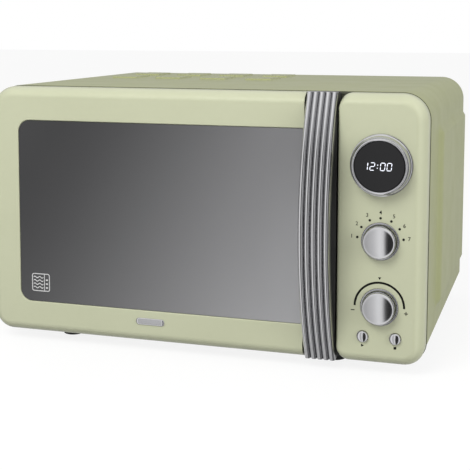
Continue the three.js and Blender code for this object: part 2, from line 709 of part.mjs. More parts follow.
// Dark strip of the door behind the handle, hollow in the middle, with solid ends for the screws.
function handleStrip() {
  const block = common(moulding(STRIP_SET), slab(STRIP_LEFT, STRIP_RIGHT));
  const side = STRIP_WALL;
  const hollow = box(
    STRIP_LEFT + side, STRIP_RIGHT - side, -FRONT_DEPTH + STRIP_SET + side, 1,
    STRIP_END, BODY_HEIGHT - STRIP_END,
  );
  const bowRoom = cut(
    box(STRIP_LEFT - 5, STRIP_RIGHT + 5, -2 * FRONT_DEPTH, 5, -5, BODY_HEIGHT + 5),
    bowBack(CARRIER_RADIUS - GAP),
  );
  const heads = screwHeights().map((z) => {
    const head = bar('y', SCREW_HEAD + GAP, CHOKE_Y - 2.4 - 2 * GAP, 1);
    return placed(head, STRIP_MIDDLE, 0, z);
  });
  const recess = backRecess(WALL, CHOKE_Y - GAP, 1);
  const shell = cut(block, hollow, bowRoom, recess, ...heads, ...screwHoles(SCREW_RADIUS + GAP));
  return join(shell, springShelf());
}

// Shelf inside the strip that the spring's lower end stands on.
function springShelf() {
  const [low] = springSpan();
  const back = CHOKE_Y - GAP;
  return box(STRIP_LEFT + 1, LATCH_X - LATCH_BAR / 2 - SLIP, SCREEN_Y - 4, back, low - 3, low);
}

// Everything behind the bow's back surface, as a block across the strip.
function bowBack(radius) {
  const section = new THREE.Shape();
  section.moveTo(STRIP_LEFT - 5, 0);
  section.lineTo(STRIP_RIGHT + 5, 0);
  section.lineTo(STRIP_RIGHT + 5, 1);
  section.lineTo(STRIP_LEFT - 5, 1);
  const geometry = bowed(section, radius - 1);
  const spots = geometry.attributes.position;
  const inside = geometry.clone().attributes.position;
  for (let index = 0; index < spots.count; index += 1) {
    const front = bowY(radius, inside.getZ(index));
    if (inside.getY(index) > front + 0.5) spots.setY(index, 6);
  }
  geometry.computeVertexNormals();
  return geometry;
}

function doorLatch() {
  const [low, high] = hookHeights();
  const front = SCREEN_Y - 2;
  const back = CHOKE_Y - SLIP - 1;
  const half = LATCH_BAR / 2;
  const bars = box(LATCH_X - half, LATCH_X + half, front, back, low - 6, high + 6);
  const left = LATCH_X - LATCH_WIDTH / 2;
  const right = LATCH_X + LATCH_WIDTH / 2;
  const hooks = [low, high].map((z) => {
    const tall = LATCH_HEIGHT / 2;
    const arm = box(left, right, back - 1, LATCH_DEPTH, z - tall + 2.5, z + tall);
    return join(arm, box(left, right, LATCH_DEPTH - 4, LATCH_DEPTH, z - tall, z + tall));
  });
  const [tabLow] = springSpan().slice(-1);
  const tab = box(LATCH_X - 9, LATCH_X, front, back, tabLow + GAP, tabLow + GAP + 2);
  return join(bars, ...hooks, tab);
}

const springSpan = () => [MIDDLE_Z - SPRING_LENGTH, MIDDLE_Z];

function latchSpring() {
  const [low, high] = springSpan();
  const turns = SPRING_TURNS * 2 * Math.PI;
  const rise = high - low - 2 * SPRING_WIRE - 2 * GAP;
  const points = [];
  const count = SPRING_TURNS * SPRING_STEPS;
  for (let index = 0; index <= count; index += 1) {
    const turn = (turns * index) / count;
    const z = low + SPRING_WIRE + GAP + (rise * index) / count;
    points.push(new THREE.Vector3(SPRING_RADIUS * Math.cos(turn), SPRING_RADIUS * Math.sin(turn), z));
  }
  const section = new THREE.Shape();
  section.absarc(0, 0, SPRING_WIRE, 0, 2 * Math.PI, false);
  const path = new THREE.CatmullRomCurve3(points);
  const settings = { steps: count, extrudePath: path, curveSegments: 3, bevelEnabled: false };
  return placed(new THREE.ExtrudeGeometry(section, settings), LATCH_X - 6.2, SCREEN_Y + 0.6, 0);
}

function badge() {
  const half = BADGE_LENGTH / 2;
  const round = BADGE_HEIGHT / 2 - 0.1;
  const shape = rounded(
    BADGE_X - half, BADGE_X + half, BADGE_Z - BADGE_HEIGHT / 2, BADGE_Z + BADGE_HEIGHT / 2,
    round, round, round, round,
  );
  return plate(shape, -FRONT_DEPTH - GAP - BADGE_THICK, -FRONT_DEPTH - GAP);
}

// --- Hinges and latch board ----------------------------------------------------------------

function hinge(armZ, up) {
  const top = armZ + HINGE_ARM;
  const left = HINGE_X - HINGE_ARM_HALF;
  const right = HINGE_X + HINGE_ARM_HALF;
  const arm = box(left, right, -HINGE_AHEAD, INSIDE_Y + 1, armZ, top);
  const end = placed(bar('z', HINGE_ARM_HALF, armZ, top), HINGE_X, -HINGE_AHEAD, 0);
  const from = up ? top - 1 : armZ - HINGE_PIN_LENGTH;
  const pin = placed(bar('z', HINGE_PIN, from, from + HINGE_PIN_LENGTH + 1), HINGE_X, -HINGE_AHEAD, 0);
  const low = up ? armZ : top - 26;
  const flange = box(left, CAVITY_LEFT - SHEET - 2 * GAP, INSIDE_Y, INSIDE_Y + 2, low, low + 26);
  return join(arm, end, pin, flange);
}

const switchHeights = () => [LATCH_LOW, LATCH_LOW + LATCH_PITCH / 2, LATCH_LOW + LATCH_PITCH];
const BOARD_WALL_X = LATCH_X + LATCH_WIDTH / 2 + SLIP + LATCH_SWING + 1;

function latchBoard() {
  const low = LATCH_LOW - 18;
  const high = LATCH_LOW + LATCH_PITCH + 18;
  const wall = box(BOARD_WALL_X, BOARD_WALL_X + 2, INSIDE_Y, 44, low, high);
  const shelves = hookHeights().map((z) => {
    const top = z - LATCH_HEIGHT / 2 - SLIP;
    return box(LATCH_X - 5, BOARD_WALL_X + 1, INSIDE_Y, 20, top - 3, top);
  });
  const buttons = switchHeights().map((z) => placed(bar('x', 2.2, -5, 5), BOARD_WALL_X, 14, z));
  return cut(join(wall, ...shelves), ...buttons);
}

// Micro switch beside a hook, with its plunger through the latch board's wall.
function doorSwitch(z) {
  const left = BOARD_WALL_X + 2 + GAP;
  const body = box(left, left + 10, 8, 36, z - 8, z + 8);
  const plunger = placed(bar('x', 1.7, BOARD_WALL_X + 0.4, left + 1), 0, 14, z);
  return join(body, plunger);
}

// --- Control panel -----------------------------------------------------------------------------

const knobHeights = () => [MODE_Z, DIAL_Z];
const buttonPlaces = () => [CONTROL_LINE - BUTTON_PITCH / 2, CONTROL_LINE + BUTTON_PITCH / 2];

function controlFascia() {
  const corner = PANEL_CORNER;
  const face = plate(
    rounded(PANEL_LEFT, BODY_WIDTH + 5, 0, BODY_HEIGHT, corner, 1, 1, corner), -100, 0,
  );
  const inner = plate(
    rounded(PANEL_LEFT + WALL, BODY_WIDTH + 5, WALL, BODY_HEIGHT - WALL, corner, 1, 1, corner),
    -100, 1,
  );
  const shell = cut(common(moulding(0), face), common(moulding(WALL), inner));
  const display = placed(bar('y', DISPLAY_FACE_RADIUS - 1, -30, 0, ROUND), CONTROL_LINE, 0, DISPLAY_HEIGHT);
  const shafts = knobHeights().map((z) => (
    placed(bar('y', SHAFT_RADIUS + SLIP, -30, 0), CONTROL_LINE, 0, z)
  ));
  const buttons = buttonPlaces().map((x) => placed(bar('y', BUTTON_RADIUS + GAP, -30, 0), x, 0, BUTTON_Z));
  return cut(shell, display, ...shafts, ...buttons, handleRoom());
}

// Space at the panel's left edge for the ends of the handle.
function handleRoom() {
  const section = new THREE.Shape();
  const depth = BOW_RADIUS - CARRIER_RADIUS + 2 * SLIP;
  section.moveTo(HANDLE_LEFT, 0);
  section.lineTo(HANDLE_RIGHT + SLIP, 0);
  section.lineTo(HANDLE_RIGHT + SLIP, depth);
  section.lineTo(HANDLE_LEFT, depth);
  return bowed(section, CARRIER_RADIUS - SLIP);
}

function displayBezel() {
  const back = -FRONT_DEPTH - GAP;
  const front = back - DISPLAY_RISE;
  const inner = DISPLAY_FACE_RADIUS + GAP - 0.8;
  return turned('y', [
    [inner, front + 0.6], [DISPLAY_FACE_RADIUS + 0.6, front], [DISPLAY_FACE_RADIUS + 1.6, front + 0.2],
    [DISPLAY_RADIUS - 0.5, back - 1.6], [DISPLAY_RADIUS, back - 0.8], [DISPLAY_RADIUS, back],
    [inner, back], [inner, front + 0.6],
  ], LARGE);
}

function displayLens() {
  const front = -FRONT_DEPTH - GAP - DISPLAY_RISE + 1;
  return bar('y', DISPLAY_FACE_RADIUS - 0.8, front, front + DISPLAY_LENS_THICK, LARGE);
}

// Board with the display block, two key switches and the relays behind it.
function controlBoard() {
  const back = BOARD_Y + BOARD_THICK;
  const low = 12;
  const top = BODY_HEIGHT - 30;
  const board = box(CONTROL_LINE - 31, CONTROL_LINE + 31, BOARD_Y, back, low, top);
  const lensBack = -FRONT_DEPTH - GAP - DISPLAY_RISE + 1 + DISPLAY_LENS_THICK + GAP;
  const display = placed(
    box(-19, 19, lensBack, BOARD_Y + 0.5, -9, 9), CONTROL_LINE, 0, DISPLAY_HEIGHT,
  );
  const keys = buttonPlaces().map((x) => (
    box(x - 3, x + 3, keyTop(), BOARD_Y + 0.5, BUTTON_Z - 3, BUTTON_Z + 3)
  ));
  const relay = box(CONTROL_LINE - 26, CONTROL_LINE - 8, back - 0.5, back + 16, 82, 104);
  const supply = box(CONTROL_LINE - 20, CONTROL_LINE + 20, back - 0.5, back + 26, 135, 170);
  const holes = knobHeights().map((z) => (
    placed(bar('y', SHAFT_RADIUS + 2, BOARD_Y - 2, back + 2), CONTROL_LINE, 0, z)
  ));
  return cut(join(board, display, ...keys, relay, supply), ...holes);
}

const buttonStemEnd = () => -FRONT_DEPTH + WALL + GAP + PRESS_TRAVEL + 4;
const keyTop = () => buttonStemEnd() + PRESS_TRAVEL + GAP;

// Rotary switch body in front of the board, bored for the knob's shaft.
function rotarySwitch() {
  const front = -FRONT_DEPTH + WALL + 2;
  const back = BOARD_Y - GAP;
  const body = box(-9, 9, front, back, -9, 9);
  return cut(body, bar('y', SHAFT_RADIUS + RUN, front - 1, back + 1));
}

const knobBack = () => -FRONT_DEPTH - KNOB_LIFT;

function knob(boreDepth) {
  const back = knobBack();
  const front = back - KNOB_LENGTH;
  const bore = SHAFT_RADIUS + RUN;
  const profile = [[0, front], [KNOB_FRONT_RADIUS - KNOB_EDGE, front]];
  for (let step = 1; step <= 4; step += 1) {
    const turn = (HALF * step) / 4;
    profile.push([
      KNOB_FRONT_RADIUS - KNOB_EDGE * (1 - Math.sin(turn)), front + KNOB_EDGE * (1 - Math.cos(turn)),
    ]);
  }
  profile.push([KNOB_BASE_RADIUS, back], [bore, back], [bore, back - boreDepth], [0, back - boreDepth]);
  return turned('y', profile);
}

// Shaft that ends a given distance short of the bottom of the knob's bore.
function knobShaft(short) {
  const front = knobBack() - KNOB_BORE_DEPTH + short;
  return bar('y', SHAFT_RADIUS, front, BOARD_Y - GAP);
}

function knobRing() {
  const back = -FRONT_DEPTH - GAP;
  return turned('y', [
    [RING_INNER, back - RING_RISE], [RING_RADIUS - 0.8, back - RING_RISE], [RING_RADIUS, back - 0.5],
    [RING_RADIUS, back], [RING_INNER, back], [RING_INNER, back - RING_RISE],
  ]);
}

// Domed button with a stem through the panel and a flange behind it.
function pushButton() {
  const flange = -FRONT_DEPTH + WALL + GAP;
  const front = -FRONT_DEPTH - BUTTON_RISE;
  const r = BUTTON_RADIUS;
  return turned('y', [
    [0, front], [0.45 * r, front + 0.25], [0.78 * r, front + 0.9], [r, front + 2.1], [r, flange],
    [r + 1.2, flange], [r + 1.2, flange + 1.5], [2.2, flange + 1.5],
    [2.2, buttonStemEnd()], [0, buttonStemEnd()],
  ], FINE);
}

// --- Turntable -----------------------------------------------------------------------------------

function turntableMotor() {
  const top = CAVITY_FLOOR - SHEET - GAP;
  const low = top - MOTOR_HEIGHT;
  const body = bar('z', MOTOR_RADIUS, low, top, ROUND);
  const ears = box(-MOTOR_RADIUS - 7, MOTOR_RADIUS + 7, -6, 6, top - 1.5, top);
  return cut(join(body, ears), bar('z', TURN_SHAFT + RUN, low + 3, top + 1));
}

function turntableCoupler() {
  const low = CAVITY_FLOOR - SHEET - MOTOR_HEIGHT + 4;
  const hub = ROLLER_Z - 2;
  const top = TRAY_Z - GAP;
  const shaft = bar('z', TURN_SHAFT, low, hub + 1);
  const lobes = [0, 1, 2].map((n) => {
    const lobe = box(-3, COUPLER_RADIUS, -3.2, 3.2, hub, top);
    return lobe.rotateZ((n * 2 * Math.PI) / 3);
  });
  return join(shaft, bar('z', 7, hub, top), ...lobes);
}

function glassTray() {
  const low = TRAY_Z;
  const flat = low + TRAY_THICK;
  const rim = low + TRAY_RIM;
  const r = TRAY_RADIUS;
  const lug = COUPLER_RADIUS + SLIP;
  return turned('z', [
    [0, low], [lug, low], [lug, low - 4], [lug + 3, low - 4], [lug + 3.5, low], [r - 13, low],
    [r - 4, low + 4.5], [r, rim - 1], [r - 0.8, rim], [r - 4.2, rim], [r - 6, flat + 2.5],
    [r - 14, flat], [0, flat],
  ], LARGE);
}

const ringOuter = () => ROLLER_TRACK - ROLLER_WIDTH / 2 - SLIP;

function rollerRing() {
  const hoop = ring(
    'z', ringOuter() - RING_WIDTH, ringOuter(), ROLLER_Z - RING_HEIGHT / 2, ROLLER_Z + RING_HEIGHT / 2,
    LARGE,
  );
  const end = ROLLER_TRACK + ROLLER_WIDTH / 2 + SLIP;
  const pins = rollerTurns().map((turn) => {
    const pin = join(
      bar('x', ROLLER_PIN, ringOuter() - 2, end + 1, 12), bar('x', ROLLER_PIN + 1.2, end, end + 1.6, 12),
    );
    return placed(pin, 0, 0, ROLLER_Z).rotateZ(turn);
  });
  return join(hoop, ...pins);
}

const rollerTurns = () => (
  Array.from({ length: ROLLER_COUNT }, (_, index) => HALF + (index * 2 * Math.PI) / ROLLER_COUNT)
);

function roller(turn) {
  const half = ROLLER_WIDTH / 2;
  const wheel = ring(
    'x', ROLLER_PIN + RUN, ROLLER_RADIUS, ROLLER_TRACK - half, ROLLER_TRACK + half, FINE,
  );
  return placed(wheel, 0, 0, ROLLER_Z).rotateZ(turn);
}

// --- Component bay ---------------------------------------------------------------------------------

function waveguide() {
  const x1 = BAY_LEFT + GUIDE_DEPTH;
  const high = GUIDE_LOW + GUIDE_HEIGHT;
  const outer = box(BAY_LEFT, x1, GUIDE_Y, GUIDE_Y + GUIDE_LENGTH, GUIDE_LOW, high);
  const inner = box(
    BAY_LEFT - 1, x1 - SHEET, GUIDE_Y + SHEET, GUIDE_Y + GUIDE_LENGTH - SHEET,
    GUIDE_LOW + SHEET, high - SHEET,
  );
  const hole = placed(bar('x', ANTENNA_RADIUS + 1, x1 - 5, x1 + 5), ...guideMiddle());
  return cut(outer, inner, hole);
}

const guideMiddle = () => [0, GUIDE_Y + GUIDE_LENGTH / 2, GUIDE_LOW + GUIDE_HEIGHT / 2];

function waveguideCover() {
  const [, y, z] = guideMiddle();
  const long = APERTURE_LENGTH / 2 + 6;
  const tall = APERTURE_HEIGHT / 2 + 6;
  return box(CAVITY_RIGHT - GAP - 0.5, CAVITY_RIGHT - GAP, y - long, y + long, z - tall, z + tall);
}

// Yoke with cooling fins that the air passes from back to front, and the antenna.
function magnetron() {
  const [, y, z] = guideMiddle();
  const x0 = BAY_LEFT + GUIDE_DEPTH + GAP;
  const half = MAGNETRON_SIDE / 2;
  const yoke = box(x0, x0 + MAGNETRON_WIDTH, -half, half, -half, half);
  const finGaps = [];
  for (let index = 0; index < 5; index += 1) {
    const x = x0 + 12 + index * 7.5;
    finGaps.push(box(x, x + 4.5, -half - 1, half + 1, -half + 8, -11));
    finGaps.push(box(x, x + 4.5, -half - 1, half + 1, 11, half - 8));
  }
  const antenna = bar('x', ANTENNA_RADIUS, x0 - 22, x0 + 1);
  return placed(join(cut(yoke, ...finGaps), antenna), 0, y, z);
}

const coreY = () => INSIDE_Y + 98;

// Transformer core with a window at each side of its upright middle leg.
function transformerCore() {
  const low = BASE_TOP + GAP;
  const half = CORE_DEPTH / 2;
  const block = box(-CORE_WIDTH / 2, CORE_WIDTH / 2, -half, half, low, low + CORE_HEIGHT);
  const windowOf = (y0, y1) => box(
    -CORE_WIDTH, CORE_WIDTH, y0, y1, low + CORE_YOKE, low + CORE_HEIGHT - CORE_YOKE,
  );
  const windows = [windowOf(-half + CORE_YOKE, -CORE_LEG / 2), windowOf(CORE_LEG / 2, half - CORE_YOKE)];
  return placed(cut(block, ...windows), BAY_MIDDLE, coreY() + half, 0);
}

function transformerWinding() {
  const low = BASE_TOP + GAP + CORE_YOKE + GAP;
  const high = BASE_TOP + CORE_HEIGHT - CORE_YOKE;
  const x = CORE_WIDTH / 2 + GAP;
  const y = CORE_LEG / 2 + GAP;
  const build = Math.min(WINDING_BUILD, CORE_DEPTH / 2 - CORE_YOKE - CORE_LEG / 2 - 2 * GAP);
  const outer = box(-x - WINDING_BUILD, x + WINDING_BUILD, -y - build, y + build, low, high);
  return placed(cut(outer, box(-x, x, -y, y, low - 1, high + 1)), BAY_MIDDLE, coreY() + CORE_DEPTH / 2, 0);
}

function capacitor() {
  const low = BASE_TOP + GAP;
  const shape = rounded(-26, 26, low, low + 34, 16.9, 16.9, 16.9, 16.9);
  const start = coreY() + CORE_DEPTH + 8;
  const can = plate(shape, start, FAN_Y - 8);
  const tabs = [-9, 9].map((x) => box(x - 3, x + 3, start - 6, start + 1, low + 16.5, low + 17.5));
  return placed(join(can, ...tabs), BAY_MIDDLE, 0, 0);
}

// Panel across the bay with a duct for the blade and two struts behind it for the motor.
function fanShroud() {
  const back = FAN_Y + 2;
  const low = BASE_FLANGE + GAP;
  const sheet = box(BAY_LEFT, BAY_RIGHT, FAN_Y, back, low, BODY_HEIGHT - TOP_RADIUS);
  const leg = box(BAY_MIDDLE - 20, BAY_RIGHT - BOTTOM_RADIUS, FAN_Y, back, BASE_TOP + GAP, low + 1);
  const centre = [BAY_MIDDLE, 0, FAN_Z];
  const opening = placed(bar('y', FAN_RADIUS + 1.5, FAN_Y - 30, back + 5, ROUND), ...centre);
  const duct = placed(ring('y', FAN_RADIUS + 1.5, FAN_RADIUS + 4, FAN_Y - FAN_DUCT, back - 0.5), ...centre);
  const reach = FAN_RADIUS + 5;
  const struts = [FAN_Z - 14, FAN_Z + 14].map((z) => (
    box(BAY_MIDDLE - reach, BAY_MIDDLE + reach, back - 0.5, back + 3, z - 2, z + 2)
  ));
  return join(cut(sheet, opening), leg, duct, ...struts);
}

function fanMotor() {
  const front = FAN_Y + 5 + GAP;
  const core = box(-26, 26, front + 6, front + 22, -26, 26);
  const shell = bar('y', 15, front, front + 24);
  return cut(join(core, shell), bar('y', 2 + RUN, front - 1, front + 14));
}

// Hub with pitched blades and the shaft that runs into the motor.
function fanBlade() {
  const middle = FAN_Y - FAN_DUCT / 2;
  const hub = bar('y', 10, middle - 7, middle + 7);
  const shaft = bar('y', 2, middle, FAN_Y + 5 + GAP + 12, 12);
  const blades = [];
  for (let index = 0; index < FAN_BLADES; index += 1) {
    const blade = box(8, FAN_RADIUS - 1.5, -0.8, 0.8, -9, 9).rotateX(0.55);
    blades.push(blade.rotateY((index * 2 * Math.PI) / FAN_BLADES).translate(0, middle, 0));
  }
  const inDuct = bar('y', FAN_RADIUS - 1, middle - 8, middle + 8, ROUND);
  return join(hub, shaft, ...blades.map((blade) => common(blade, inDuct)));
}

function filterBoard() {
  const top = BODY_HEIGHT - SHEET - 12;
  const board = box(-38, 38, -26, 26, top - 1.6, top);
  const choke = placed(ring('z', 4, 12, top - 14, top - 1), -20, 0, 0);
  const parts = [box(4, 22, -14, 0, top - 16, top - 1), box(26, 32, -12, 14, top - 9, top - 1)];
  return placed(join(board, choke, ...parts), BAY_MIDDLE, FAN_Y - FAN_DUCT - 30, 0);
}

function cavityLamp() {
  return turned('x', [[0, 0], [6, 1.5], [8.5, 7], [8.5, 12], [6, 18], [6, 30], [0, 30]], FINE);
}

// --- Put together --------------------------------------------------------------------------------

function addBody() {
  piece('outer_cover', 'greenSteel', outerCover());
  piece('base_plate', 'steel', basePlate());
  piece('front_frame', 'greenSteel', frontFrame());
  piece('cavity_liner', 'enamel', cavityLiner());
  piece('rear_panel', 'steel', rearPanel());
  piece('cord_gland', 'black', cordGland(), glandPlace(0));
  footPlaces().forEach(([x, y], index) => piece(`foot_${index + 1}`, 'black', foot(), [x, y, 0]));
}

function addDoor() {
  const [low, high] = hingeHeights();
  piece('lower_hinge', 'steel', hinge(low, true));
  piece('upper_hinge', 'steel', hinge(high, false));
  piece('door_frame', 'green', doorFrame());
  piece('door_window', 'smoked', doorWindow());
  piece('door_screen', 'black', doorScreen());
  piece('choke_cover', 'dark', chokeCover());
  piece('inner_window', 'glass', innerWindow());
  piece('badge', 'chrome', badge());
  piece('handle_strip', 'dark', handleStrip());
  piece('handle_carrier', 'dark', handleCarrier());
  piece('handle_ribs', 'chrome', handleRibs());
  screwHeights().forEach((z, index) => {
    const place = [STRIP_MIDDLE, 0, z];
    piece(`handle_screw_${index + 1}`, 'steel', handleScrew(), place);
  });
}

function addLatch() {
  piece('door_latch', 'white', doorLatch());
  piece('latch_spring', 'steel', latchSpring());
  piece('latch_board', 'white', latchBoard());
  switchHeights().forEach((z, index) => piece(`door_switch_${index + 1}`, 'black', doorSwitch(z)));
}

function addControls() {
  piece('control_fascia', 'green', controlFascia());
  piece('control_board', 'board', controlBoard());
  const display = [CONTROL_LINE, 0, DISPLAY_HEIGHT];
  piece('display_bezel', 'chrome', displayBezel(), display);
  piece('display_lens', 'black', displayLens(), display);
  const mode = [CONTROL_LINE, 0, MODE_Z];
  const dial = [CONTROL_LINE, 0, DIAL_Z];
  piece('mode_ring', 'chrome', knobRing(), mode);
  piece('mode_switch', 'dark', rotarySwitch(), mode);
  piece('mode_knob', 'chrome', join(knob(KNOB_BORE_DEPTH), knobShaft(-1)), mode);
  piece('dial_ring', 'chrome', knobRing(), dial);
  piece('dial_encoder', 'dark', rotarySwitch(), dial);
  piece('dial_shaft', 'steel', knobShaft(PRESS_TRAVEL + SLIP), dial);
  piece('time_dial', 'chrome', knob(KNOB_BORE_DEPTH), dial);
  const [startX, cancelX] = buttonPlaces();
  piece('start_button', 'chrome', pushButton(), [startX, 0, BUTTON_Z]);
  piece('cancel_button', 'chrome', pushButton(), [cancelX, 0, BUTTON_Z]);
}

function addTurntable() {
  const centre = [TABLE_X, TABLE_Y, 0];
  piece('turntable_motor', 'steel', turntableMotor(), centre);
  piece('turntable_coupler', 'white', turntableCoupler(), centre);
  piece('glass_tray', 'glass', glassTray(), centre);
  piece('roller_ring', 'white', rollerRing(), centre);
  rollerTurns().forEach((turn, index) => piece(`roller_${index + 1}`, 'white', roller(turn), centre));
}

function addBay() {
  piece('waveguide', 'steel', waveguide());
  piece('waveguide_cover', 'mica', waveguideCover());
  piece('magnetron', 'steel', magnetron());
  piece('transformer_core', 'laminate', transformerCore());
  piece('transformer_winding', 'copper', transformerWinding());
  piece('capacitor', 'steel', capacitor());
  piece('fan_shroud', 'dark', fanShroud());
  const fan = [BAY_MIDDLE, 0, FAN_Z];
  piece('fan_motor', 'laminate', fanMotor(), fan);
  piece('fan_blade', 'black', fanBlade(), fan);
  piece('filter_board', 'board', filterBoard());
  piece('cavity_lamp', 'glass', cavityLamp(), [BAY_LEFT + 1, LAMP_Y, LAMP_HEIGHT]);
}

addBody();
addDoor();
addLatch();
addControls();
addTurntable();
addBay();

export default oven;
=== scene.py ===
"""Countertop microwave oven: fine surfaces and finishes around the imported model.

Lengths in the classes are millimetres in the oven's own frame: x from the body's left side,
y from the seam behind the front moulding towards the back, z from the moulding's lower edge.
"""

import logging
import math
from collections.abc import Callable, Iterable, Sequence
from dataclasses import dataclass, field
from enum import Enum

import bmesh
import bpy
from mathutils import Matrix, Vector


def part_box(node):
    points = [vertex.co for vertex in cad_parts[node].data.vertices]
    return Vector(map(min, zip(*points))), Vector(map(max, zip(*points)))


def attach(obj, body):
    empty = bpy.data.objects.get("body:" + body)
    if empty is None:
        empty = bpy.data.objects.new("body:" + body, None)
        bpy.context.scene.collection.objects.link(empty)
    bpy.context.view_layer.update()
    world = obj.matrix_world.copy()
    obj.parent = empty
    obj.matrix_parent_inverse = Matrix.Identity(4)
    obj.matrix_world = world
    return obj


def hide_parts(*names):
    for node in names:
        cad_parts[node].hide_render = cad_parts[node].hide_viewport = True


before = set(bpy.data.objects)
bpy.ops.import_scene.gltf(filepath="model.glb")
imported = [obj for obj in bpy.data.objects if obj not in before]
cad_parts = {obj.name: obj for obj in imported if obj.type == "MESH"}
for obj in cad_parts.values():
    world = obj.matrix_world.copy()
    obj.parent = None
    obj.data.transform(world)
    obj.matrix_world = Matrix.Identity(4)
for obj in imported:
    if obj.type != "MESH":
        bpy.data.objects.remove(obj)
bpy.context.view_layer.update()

log = logging.getLogger("oven")

Point = tuple[float, float, float]
Flat = tuple[float, float]
Colour = tuple[float, float, float]

MM = 0.001
QUARTER = math.pi / 2
SHARP = math.radians(32)
ROUND = 96
SMALL_ROUND = 40
CORNER = 14
STRAIGHT = 8
SLOPE_STEPS = 5


# --- Where things lie ---------------------------------------------------------------------


@dataclass(frozen=True)
class Site:
    """The oven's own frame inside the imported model, and the sizes that its pieces share."""

    width: float = 443.0
    height: float = 253.0
    depth: float = 318.5
    front: float = -21.5
    seam: float = 0.8
    sheet: float = 0.8
    wall: float = 2.6
    gap: float = 0.3
    top_radius: float = 25.5
    low_radius: float = 20.0
    roll_width: float = 11.0
    roll_depth: float = 16.0
    strip_left: float = 329.6
    control_x: float = 401.5

    def origin(self) -> Vector:
        """Corner of the oven's own frame, in metres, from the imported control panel."""
        low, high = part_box("control_fascia")
        return Vector((high.x - self.width * MM, high.y, low.z))

    def outline(self, inset: float, left: float = 0.0) -> list[Flat]:
        """Gives the body's outline, seen from the front.

        Args:
            inset: how far the outline is moved in.
            left: how much further its left side is moved in.

        Returns:
            Points in x and z.
        """
        low = self.low_radius - inset
        top = self.top_radius - inset
        sides = (inset + left, self.width - inset, inset, self.height - inset)
        return rounded(sides, (low, low, top, top))


SITE = Site()
ORIGIN = SITE.origin()


def at(point: Sequence[float]) -> Vector:
    """Turns a place in the oven's own frame, in millimetres, into the model's, in metres.

    Args:
        point: x, y and z in millimetres.

    Returns:
        The place in metres.
    """
    return ORIGIN + Vector(point) * MM


def smooth_step(value: float) -> float:
    """Eases a value from 0 to 1.

    Args:
        value: any number.

    Returns:
        The eased number, held between 0 and 1.
    """
    held = min(max(value, 0.0), 1.0)
    return held * held * (3 - 2 * held)


def spread(start: float, end: float, count: int) -> list[float]:
    """Gives evenly spaced numbers.

    Args:
        start: first number.
        end: last number.
        count: how many steps lie between them.

    Returns:
        count + 1 numbers.
    """
    return [start + (end - start) * step / count for step in range(count + 1)]


def stations(start: float, end: float, count: int, edges: Iterable[float],
             ramp: float) -> list[float]:
    """Gives places along a span, evenly spaced and close together across each slope.

    Args:
        start: of the span.
        end: of the span.
        count: of even steps.
        edges: where slopes start, below 0 for one that runs back from its place.
        ramp: length of a slope.

    Returns:
        The places in order.
    """
    fine = [abs(edge) + math.copysign(part, edge) for edge in edges
            for part in spread(0, ramp, SLOPE_STEPS)]
    even = [place for place in spread(start, end, count)
            if all(abs(place - other) > ramp / SLOPE_STEPS for other in fine)]
    return sorted({start, end, *even, *fine})


# --- Outlines and meshes --------------------------------------------------------------------


def rounded(sides: tuple[float, float, float, float], radii: tuple[float, ...],
            corner: int = CORNER, straight: int = STRAIGHT) -> list[Flat]:
    """Draws a rectangle with round corners, always with the same number of points.

    Args:
        sides: left, right, low and top.
        radii: of the low left, low right, top right and top left corners.
        corner: steps of one corner.
        straight: steps of one side.

    Returns:
        Points, anticlockwise from the low left corner.
    """
    left, right, low, top = sides
    ll, lr, tr, tl = radii
    centres = ((left + ll, low + ll, ll), (right - lr, low + lr, lr),
               (right - tr, top - tr, tr), (left + tl, top - tl, tl))
    arcs = []
    for index, (x, z, radius) in enumerate(centres):
        turns = spread(math.pi + index * QUARTER, math.pi + (index + 1) * QUARTER, corner)
        arcs.append([(x + radius * math.cos(t), z + radius * math.sin(t)) for t in turns])
    points: list[Flat] = []
    for index, arc in enumerate(arcs):
        nearest = arcs[(index + 1) % 4][0]
        points += arc
        for step in range(1, straight):
            share = step / straight
            points.append((arc[-1][0] + (nearest[0] - arc[-1][0]) * share,
                           arc[-1][1] + (nearest[1] - arc[-1][1]) * share))
    return points


def level(outline: Iterable[Flat], y: float) -> list[Point]:
    """Places an outline drawn in x and z at one depth.

    Args:
        outline: points in x and z.
        y: the depth.

    Returns:
        Points in x, y and z.
    """
    return [(x, y, z) for x, z in outline]


def shaded(mesh: bpy.types.Mesh, sharp: float = SHARP) -> None:
    """Gives a mesh smooth faces and sharp edges.

    Args:
        mesh: the mesh.
        sharp: edges steeper than this stay sharp.
    """
    mesh.shade_smooth()
    mesh.set_sharp_from_angle(angle=sharp)


def as_object(name: str, mesh: bpy.types.Mesh, sharp: float = SHARP) -> bpy.types.Object:
    """Puts a mesh in the scene with smooth faces and sharp edges.

    Args:
        name: the object's name.
        mesh: its mesh.
        sharp: edges steeper than this stay sharp.

    Returns:
        The object.
    """
    shaded(mesh, sharp)
    thing = bpy.data.objects.new(name, mesh)
    bpy.context.scene.collection.objects.link(thing)
    return thing


def from_faces(name: str, points: Sequence[Point], faces: Sequence[Sequence[int]],
               sharp: float = SHARP) -> bpy.types.Object:
    """Makes a closed piece from points and faces, with its faces pointing out.

    Args:
        name: the piece's name.
        points: in millimetres.
        faces: of point numbers.
        sharp: edges steeper than this stay sharp.

    Returns:
        The piece.
    """
    mesh = bpy.data.meshes.new(name)
    mesh.from_pydata([at(point) for point in points], [], faces)
    tidy = bmesh.new()
    tidy.from_mesh(mesh)
    bmesh.ops.remove_doubles(tidy, verts=tidy.verts, dist=0.002 * MM)
    bmesh.ops.recalc_face_normals(tidy, faces=tidy.faces)
    tidy.to_mesh(mesh)
    tidy.free()
    return as_object(name, mesh, sharp)


